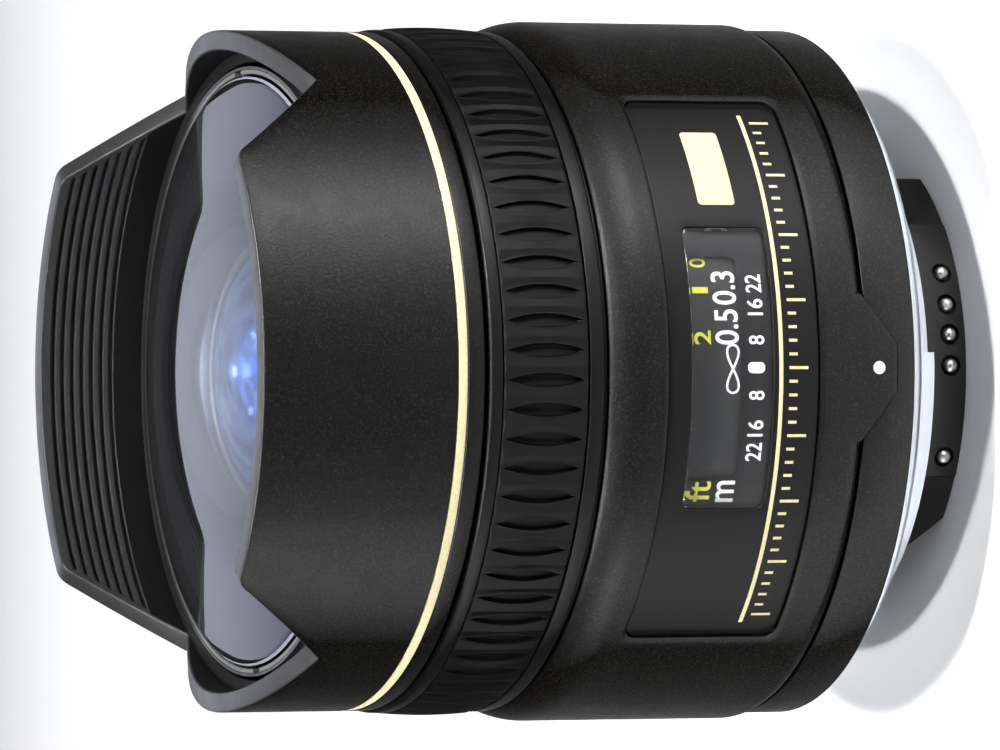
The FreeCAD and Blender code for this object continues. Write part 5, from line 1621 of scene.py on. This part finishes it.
    def index(self) -> bpy.types.Object:
        """White index: a round stem with a shallow dome, which falls by h (q / r)^4 at q from its middle.

        Returns:
            The linked object.
        """
        share = np.array([1.0, 0.94, 0.8, 0.5, 0.0])
        angle = np.radians(np.linspace(0, 360, self.dot_columns, endpoint=False))
        face = self.outer + self.dot_proud - self.dot_dome * share ** 4
        spread = np.concatenate([[0.0, 1.0], share]) * self.dot_radius
        depth = np.concatenate([[self.cover_outer + self.dot_foot] * 2, face])
        x = spread[:, None] * np.cos(angle)
        z = self.dot_height + spread[:, None] * np.sin(angle)
        y = -np.sqrt(np.maximum(depth[:, None] ** 2 - x ** 2, 0))
        return shaped("index_dot", Lattice(np.stack([x, y, z], -1), close_rows=True, close_columns=True))


@dataclass
class NamePanel:
    """Satin panel in the recess with its gold line, bare badge and ticks, and the window.

    The window's back print is a mask with an opening, the view, over the drum's figures.
    """

    plate_low: float = 30.97
    plate_high: float = 31.25
    plate_edge: float = 0.06
    outline: Sheet = patch(48.8, 10.91, 25.11, 1.1)
    opening: Sheet = patch(23.3, 15.11, 22.91, 0.6)
    glass: Sheet = patch(23.3, 15.15, 22.87, 0.6, 0.05)
    glass_low: float = 30.4
    glass_sunk: float = 0.01
    glass_edge: float = 0.1
    mask: Sheet = patch(23.3, 15.2, 22.82, 0.55, 0.1)
    view: Sheet = patch(18.6, 17.95, 22.72, 0.8)
    mask_low: float = 30.28
    mask_high: float = 30.32
    line: Sheet = Sheet(math.radians(45.8) * PRINT_RADIUS, 14.29, 14.67, 0.1, PRINT_RADIUS, 160, 2, 2)
    badge: Sheet = Sheet(math.radians(7.22) * PRINT_RADIUS, 17.34, 20.83, 0.35, PRINT_RADIUS, 24, 12, 6)
    badge_turn: float = 34.5
    bar: Sheet = Sheet(0.48, 15.75, 17.4, 0.46, 30.33, 8, 12, 8)
    print_low: float = 0.002
    print_high: float = 0.02
    print_edge: float = 0.005
    bar_edge: float = 0.004
    figure_row: float = 16.52
    figure_tall: float = 1.48
    sign_turn: float = -20.7
    tick_turn: float = 2.2
    tick_count: int = 20
    tick_top: float = 13.7
    tick_foot: float = 12.9
    tick_long_foot: float = 11.9
    tick_wide: float = 0.26

    def build(self) -> None:
        """Makes the panel, its print, the window and its back print."""
        panel = plate("name_plate", self.outline, self.plate_low, self.plate_high, self.plate_edge,
                      self.opening, steps=14)
        fitted(panel, Body.BARREL, Slot.PANEL, Paint.PANEL, "name_panel")
        pane = plate("scale_window_pane", self.glass, self.glass_low, self.plate_high - self.glass_sunk,
                     self.glass_edge, steps=6)
        fitted(pane, Body.BARREL, Slot.WINDOW, Paint.WINDOW, "scale_window")
        mask = plate("window_mask", self.mask, self.mask_low, self.mask_high, self.print_edge,
                     self.view, steps=3)
        fitted(mask, Body.BARREL, Slot.PANEL, Paint.MASK)
        low, high = self.plate_high + self.print_low, self.plate_high + self.print_high
        line = plate("panel_gold_line", self.line, low, high, self.print_edge, steps=2)
        fitted(line, Body.BARREL, Slot.GOLD, Paint.GOLD)
        badge = plate("panel_badge", self.badge, low, high, self.print_edge, turn=self.badge_turn, steps=4)
        fitted(badge, Body.BARREL, Slot.GOLD, Paint.GOLD)
        bar = plate("depth_index_bar", self.bar, self.mask_high + FILM_GAP, self.mask_high + self.print_high,
                    self.bar_edge, steps=3)
        fitted(bar, Body.BARREL, Slot.WHITE, Paint.WHITE)
        self.depth_figures()
        self.ticks()

    def depth_figures(self) -> None:
        """Depth-of-field figures and the unit signs on the back print."""
        figures = [Mark(text, side * turn, self.figure_row, self.figure_tall, wide) for side in (-1, 1)
                   for text, turn, wide in (("8", 4.55, 0.8), ("16", 10.0, 1.42), ("22", 13.95, 1.62))]
        figures.append(Mark("m", self.sign_turn, 18.81, 1.7, 1.95))
        feet = [Mark("ft", self.sign_turn, 21.34, 2.25, 1.86)]
        film = self.mask_high + FILM_GAP
        fitted(printed("depth_figures", figures, film), Body.BARREL, Slot.WHITE, Paint.WHITE)
        fitted(printed("feet_sign", feet, film), Body.BARREL, Slot.WHITE, Paint.LIME)

    def ticks(self) -> None:
        """Plain ticks along the gold line, every fifth one longer."""
        count = np.arange(-self.tick_count, self.tick_count + 1)
        high = np.full(len(count), self.tick_top)
        low = np.where(count % 5 == 0, self.tick_long_foot, self.tick_foot)
        piece = tick_row("panel_ticks", count * self.tick_turn, low, high, self.tick_wide,
                         self.plate_high + self.print_low)
        fitted(piece, Body.BARREL, Slot.GOLD, Paint.GOLD)


# Front group


@dataclass
class FrontGroup:
    """Domed front glass with its cell and retaining ring."""

    rim_radius: float = 26.26
    rim_height: float = 53.1
    dome: float = 74.0
    chamfer: float = 0.2
    edge_radius: float = 26.7
    step: float = 51.4
    edge_long: float = 3.2
    foot: float = 22.0
    back_height: float = 55.0
    back_curve: float = 19.0
    back_clear: float = 16.0
    dome_rows: int = 60
    bowl_rows: int = 50
    columns: int = 288
    cell_crease: float = 18.0
    ring_outer: float = 26.95
    ring_inner: float = 26.5
    ring_top: float = 52.87
    ring_seat: float = 0.02
    ring_outer_edge: float = 0.08
    ring_inner_edge: float = 0.06
    slot_wide: float = 1.5
    slot_deep: float = 0.7
    slot_turn: float = 94.5
    slot_side: float = 0.1

    def build(self) -> None:
        """Makes the glass and the retaining ring, and copies the cell with its walls smoothed."""
        fitted(self.glass(), Body.FRONT, Slot.GLASS, Paint.FRONT_GLASS, "front_element",
               others=[Paint.EDGE, Paint.BOWL, Paint.CHAMFER])
        fitted(self.retaining_ring(), Body.FRONT, Slot.ANODISED, Paint.RETAINER, "front_retaining_ring")
        cell = smooth_copy("front_cell_rim", "front_cell", math.radians(self.cell_crease))
        fitted(cell, Body.FRONT, Slot.ANODISED, Paint.CELL, "front_cell")

    def glass(self) -> bpy.types.Object:
        """Meniscus: a shallow dome in front, a small chamfer at its rim, a deep bowl behind.

        Both faces are balls' surfaces: height = pole - (curve - sqrt(curve^2 - radius^2)).

        Returns:
            The linked object.
        """
        pole = self.rim_height + float(bulge(self.dome, np.array(self.rim_radius)))
        out = np.linspace(0, self.rim_radius - self.chamfer, self.dome_rows)
        dome = np.stack([out, pole - bulge(self.dome, out)], 1)[::-1]
        back = np.linspace(0, self.back_clear, self.bowl_rows)
        bowl = np.stack([back, self.back_height - bulge(self.back_curve, back)], 1)
        edge = [(self.foot, bowl[-1, 1]), (self.edge_radius, self.step - self.edge_long),
                (self.edge_radius, self.step), (self.rim_radius, self.step),
                (self.rim_radius, dome[0, 1] - self.chamfer)]
        # The bowl's coating, the blackened edge, the ground chamfer, pale as a painted highlight, and the
        # clear dome, in this order.
        zones = np.repeat([2, 1, 3, 0], [len(bowl) - 1, len(edge), 1, len(dome)])
        profile = np.concatenate([bowl, edge, dome])
        return revolved("front_glass_dome", profile, self.columns, zones=zones)

    def retaining_ring(self) -> bpy.types.Object:
        """Threaded ring round the glass with two spanner slots sunk in its top.

        Returns:
            The linked object.
        """
        half = math.degrees(self.slot_wide / 2 / self.ring_outer)
        edges = self.slot_turn + np.array([-half - self.slot_side, -half, half, half + self.slot_side])
        turn = np.sort(np.concatenate([np.linspace(0, 360, 360, endpoint=False), edges, edges + 180]))
        away = np.minimum(np.abs(turn - self.slot_turn), np.abs(turn - self.slot_turn - 180))
        sunk = np.where(away <= half + 1e-6, self.slot_deep, 0.0)
        top = self.ring_top - sunk
        low = np.full_like(turn, self.step + self.ring_seat)
        rows = [around(self.ring_inner, turn, low), around(self.ring_outer, turn, low),
                around(self.ring_outer, turn, top - self.ring_outer_edge),
                around(self.ring_outer - self.ring_outer_edge, turn, top),
                around(self.ring_inner + self.ring_inner_edge, turn, top),
                around(self.ring_inner, turn, top - self.ring_inner_edge)]
        return shaped("glass_retaining_ring", Lattice(np.stack(rows), close_rows=True, close_columns=True))


# Rear and inside


@dataclass
class RearMount:
    """Chromed bayonet, screws, baffle, contacts and the rear glass, as packed, with smooth round walls.

    An edge that turns by more than the crease, in degrees, stays sharp. The flange has a
    smaller one, because its flat face would be shaded towards its shallow edges.
    """

    crease: float = 18.0
    flange_crease: float = 6.0

    def build(self) -> None:
        """Copies each seen node with its walls smoothed."""
        table = [
            ("bayonet_flange", "bayonet_mount", Body.BARREL, Slot.CHROME, Paint.CHROME),
            ("mount_screw_heads", "mount_screws", Body.BARREL, Slot.STEEL, Paint.STEEL),
            ("rear_baffle_wall", "rear_baffle", Body.BARREL, Slot.BAFFLE, Paint.BAFFLE),
            ("contact_holder", "contact_block", Body.BARREL, Slot.BAFFLE, Paint.BLOCK),
            ("contact_tips", "contact_pins", Body.BARREL, Slot.CONTACT, Paint.CONTACT),
            ("rear_glass_cell", "rear_cell", Body.REAR, Slot.ANODISED, Paint.CELL),
            ("rear_glass", "rear_element", Body.REAR, Slot.GLASS, Paint.REAR_GLASS),
            ("gel_holder", "filter_holder", Body.REAR, Slot.STEEL, Paint.ANODISED),
            ("aperture_lever_ring", "aperture_ring", Body.APERTURE, Slot.STEEL, Paint.STEEL),
            ("screwdriver_coupling", "af_coupling", Body.AUTOFOCUS, Slot.STEEL, Paint.STEEL),
            ("coupling_bush", "af_bush", Body.BARREL, Slot.BRASS, Paint.BRASS),
        ]
        for name, node, body, slot, finish in table:
            crease = self.flange_crease if finish is Paint.CHROME else self.crease
            fitted(smooth_copy(name, node, math.radians(crease)), body, slot, finish, node)


@dataclass
class InnerWorks:
    """Nodes that stay as packed and get their finishes."""

    blades: int = 7

    def build(self, nodes: dict[str, bpy.types.Object]) -> None:
        """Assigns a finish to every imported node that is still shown.

        Args:
            nodes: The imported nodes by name.
        """
        table = {
            Paint.FLEX: ["contact_flex"],
            Paint.BOARD: ["circuit_board"],
            Paint.STEEL: ["hood_set_screws", "focus_stop", "focus_ring_screws", "aperture_ring_retainer",
                          "aperture_spring", "af_pinion", "aperture_arm", "front_cam_pins", "rear_cam_pins"],
            Paint.BRASS: ["focus_gear", "af_bearing_bracket"],
            Paint.BLADE: ["iris_ring"] + ["iris_blade_%d" % (number + 1) for number in range(self.blades)],
            Paint.INNER_GLASS: ["second_element", "front_doublet"],
            Paint.REAR_GLASS: ["stop_side_element", "middle_doublet", "rear_doublet"],
        }
        given = {name: finish for finish, names in table.items() for name in names}
        for name, node in nodes.items():
            if node.hide_render:
                continue
            node.data.materials.clear()
            node.data.materials.append(given.get(name, Paint.ANODISED).material())
            LOG.info("%s: dressed as packed", name)


# Studio


@dataclass(frozen=True)
class Softbox:
    """Rectangular lamp that faces the lens; its sizes and places are in metres.

    Turn goes round the optical axis from the index, and spread narrows the light, both in degrees.
    """

    name: str
    turn: float
    height: float
    distance: float
    wide: float
    tall: float
    power: float
    aim: tuple[float, float, float]
    spread: float = 180.0
    colour: tuple[float, float, float] = (1.0, 1.0, 1.0)

    def place(self) -> None:
        """Puts the lamp at its turn, distance and height, facing its aim."""
        angle = math.radians(self.turn)
        place = Vector((self.distance * math.sin(angle), -self.distance * math.cos(angle), self.height))
        aim = Vector(self.aim) - place
        light = bpy.data.lights.new(self.name, "AREA")
        light.shape = "RECTANGLE"
        light.size, light.size_y = self.wide, self.tall
        light.energy, light.color = self.power, self.colour
        light.spread = math.radians(self.spread)
        lamp = bpy.data.objects.new(self.name, light)
        bpy.context.scene.collection.objects.link(lamp)
        lamp.matrix_world = Matrix.Translation(place) @ aim.to_track_quat("-Z", "Y").to_matrix().to_4x4()
        lamp.visible_camera = False


@dataclass
class Studio:
    """Pale floor, soft lamps and the camera.

    The floor's half width is in metres. The camera's focal length and sensor are in mm, like its
    distance from the point on the axis that it looks at and its shift across the axis.
    """

    floor_height: float = -8.24
    floor_half: float = 4.0
    floor_tone: float = 0.94
    fill: float = 0.05
    focal: float = 341.11
    sensor: float = 36.0
    distance: float = 853.83
    elevation: float = 21.676
    turn: float = -0.6
    aim: float = 28.58
    shift: float = -0.324

    def build(self) -> None:
        """Makes the floor, the surround, the lamps and the camera."""
        self.floor()
        self.surround()
        for lamp in self.lamps():
            lamp.place()
        self.camera()

    def lamps(self) -> list[Softbox]:
        """Low cards that edge the barrel, a cool panel behind, one above, and two narrow beams.

        Returns:
            The lamps.
        """
        low, high = (0.0, 0.0, 0.014), (0.0, 0.0, 0.03)
        cool = (0.82, 0.87, 1.0)
        return [Softbox("key_card", 51, 0.014, 0.19, 0.06, 0.04, 0.17, low),
                Softbox("side_card", -72, 0.014, 0.19, 0.12, 0.04, 0.105, low),
                Softbox("back_panel", 180, 0.42, 0.7, 1.2, 0.8, 1.0, (0.0, 0.0, 0.05), 80.0, cool),
                Softbox("top_panel", 180, 0.9, 0.1, 0.24, 0.32, 0.23, (0.0, 0.1001, 0.0), 8.0),
                Softbox("key_beam", 50, 0.685, 0.459, 0.08, 0.08, 0.047, high, 9.0),
                Softbox("side_beam", -58, 0.685, 0.459, 0.08, 0.08, 0.03, high, 9.0)]

    def floor(self) -> None:
        """Plain pale floor."""
        corners = np.array([(-1, -1, 0), (1, -1, 0), (1, 1, 0), (-1, 1, 0)]) * self.floor_half / MM
        floor = linked("floor", corners + (0, 0, self.floor_height), [[0, 1, 2, 3]])
        floor.data.materials.append(Finish("pale_floor", (self.floor_tone,) * 3).material())

    def surround(self) -> None:
        """World: a soft even fill."""
        world = bpy.data.worlds.new("surround")
        bpy.context.scene.world = world
        world.use_nodes = True
        fill = world.node_tree.nodes["Background"]
        fill.inputs["Color"].default_value = (1, 1, 1, 1)
        fill.inputs["Strength"].default_value = self.fill

    def camera(self) -> None:
        """Camera rolled a quarter turn, so that the optical axis lies across the picture."""
        data = bpy.data.cameras.new("camera")
        data.lens, data.sensor_width = self.focal, self.sensor
        camera = bpy.data.objects.new("camera", data)
        bpy.context.scene.collection.objects.link(camera)
        turn, rise = math.radians(self.turn), math.radians(self.elevation)
        back = Vector((math.sin(turn) * math.cos(rise), -math.cos(turn) * math.cos(rise), math.sin(rise)))
        up = Vector((math.cos(turn), math.sin(turn), 0))
        right = up.cross(back)
        place = (Vector((0, 0, self.aim)) + back * self.distance + up * self.shift) * MM
        turned = Matrix((right, up, back)).transposed().to_4x4()
        camera.matrix_world = Matrix.Translation(place) @ turned
        bpy.context.scene.camera = camera


def main() -> None:
    """Builds the lens round its frame and reports each piece."""
    logging.basicConfig(level=logging.INFO, format="%(name)s %(message)s")
    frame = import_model()
    bpy.context.scene.view_settings.view_transform = "Standard"
    for unit in (PetalHood(), FocusUnit(), MainBarrel(), NamePanel(), FrontGroup(), RearMount()):
        unit.build()
    InnerWorks().build(frame["nodes"])
    Studio().build()
    bpy.context.view_layer.update()


if __name__ == "__main__":
    main()
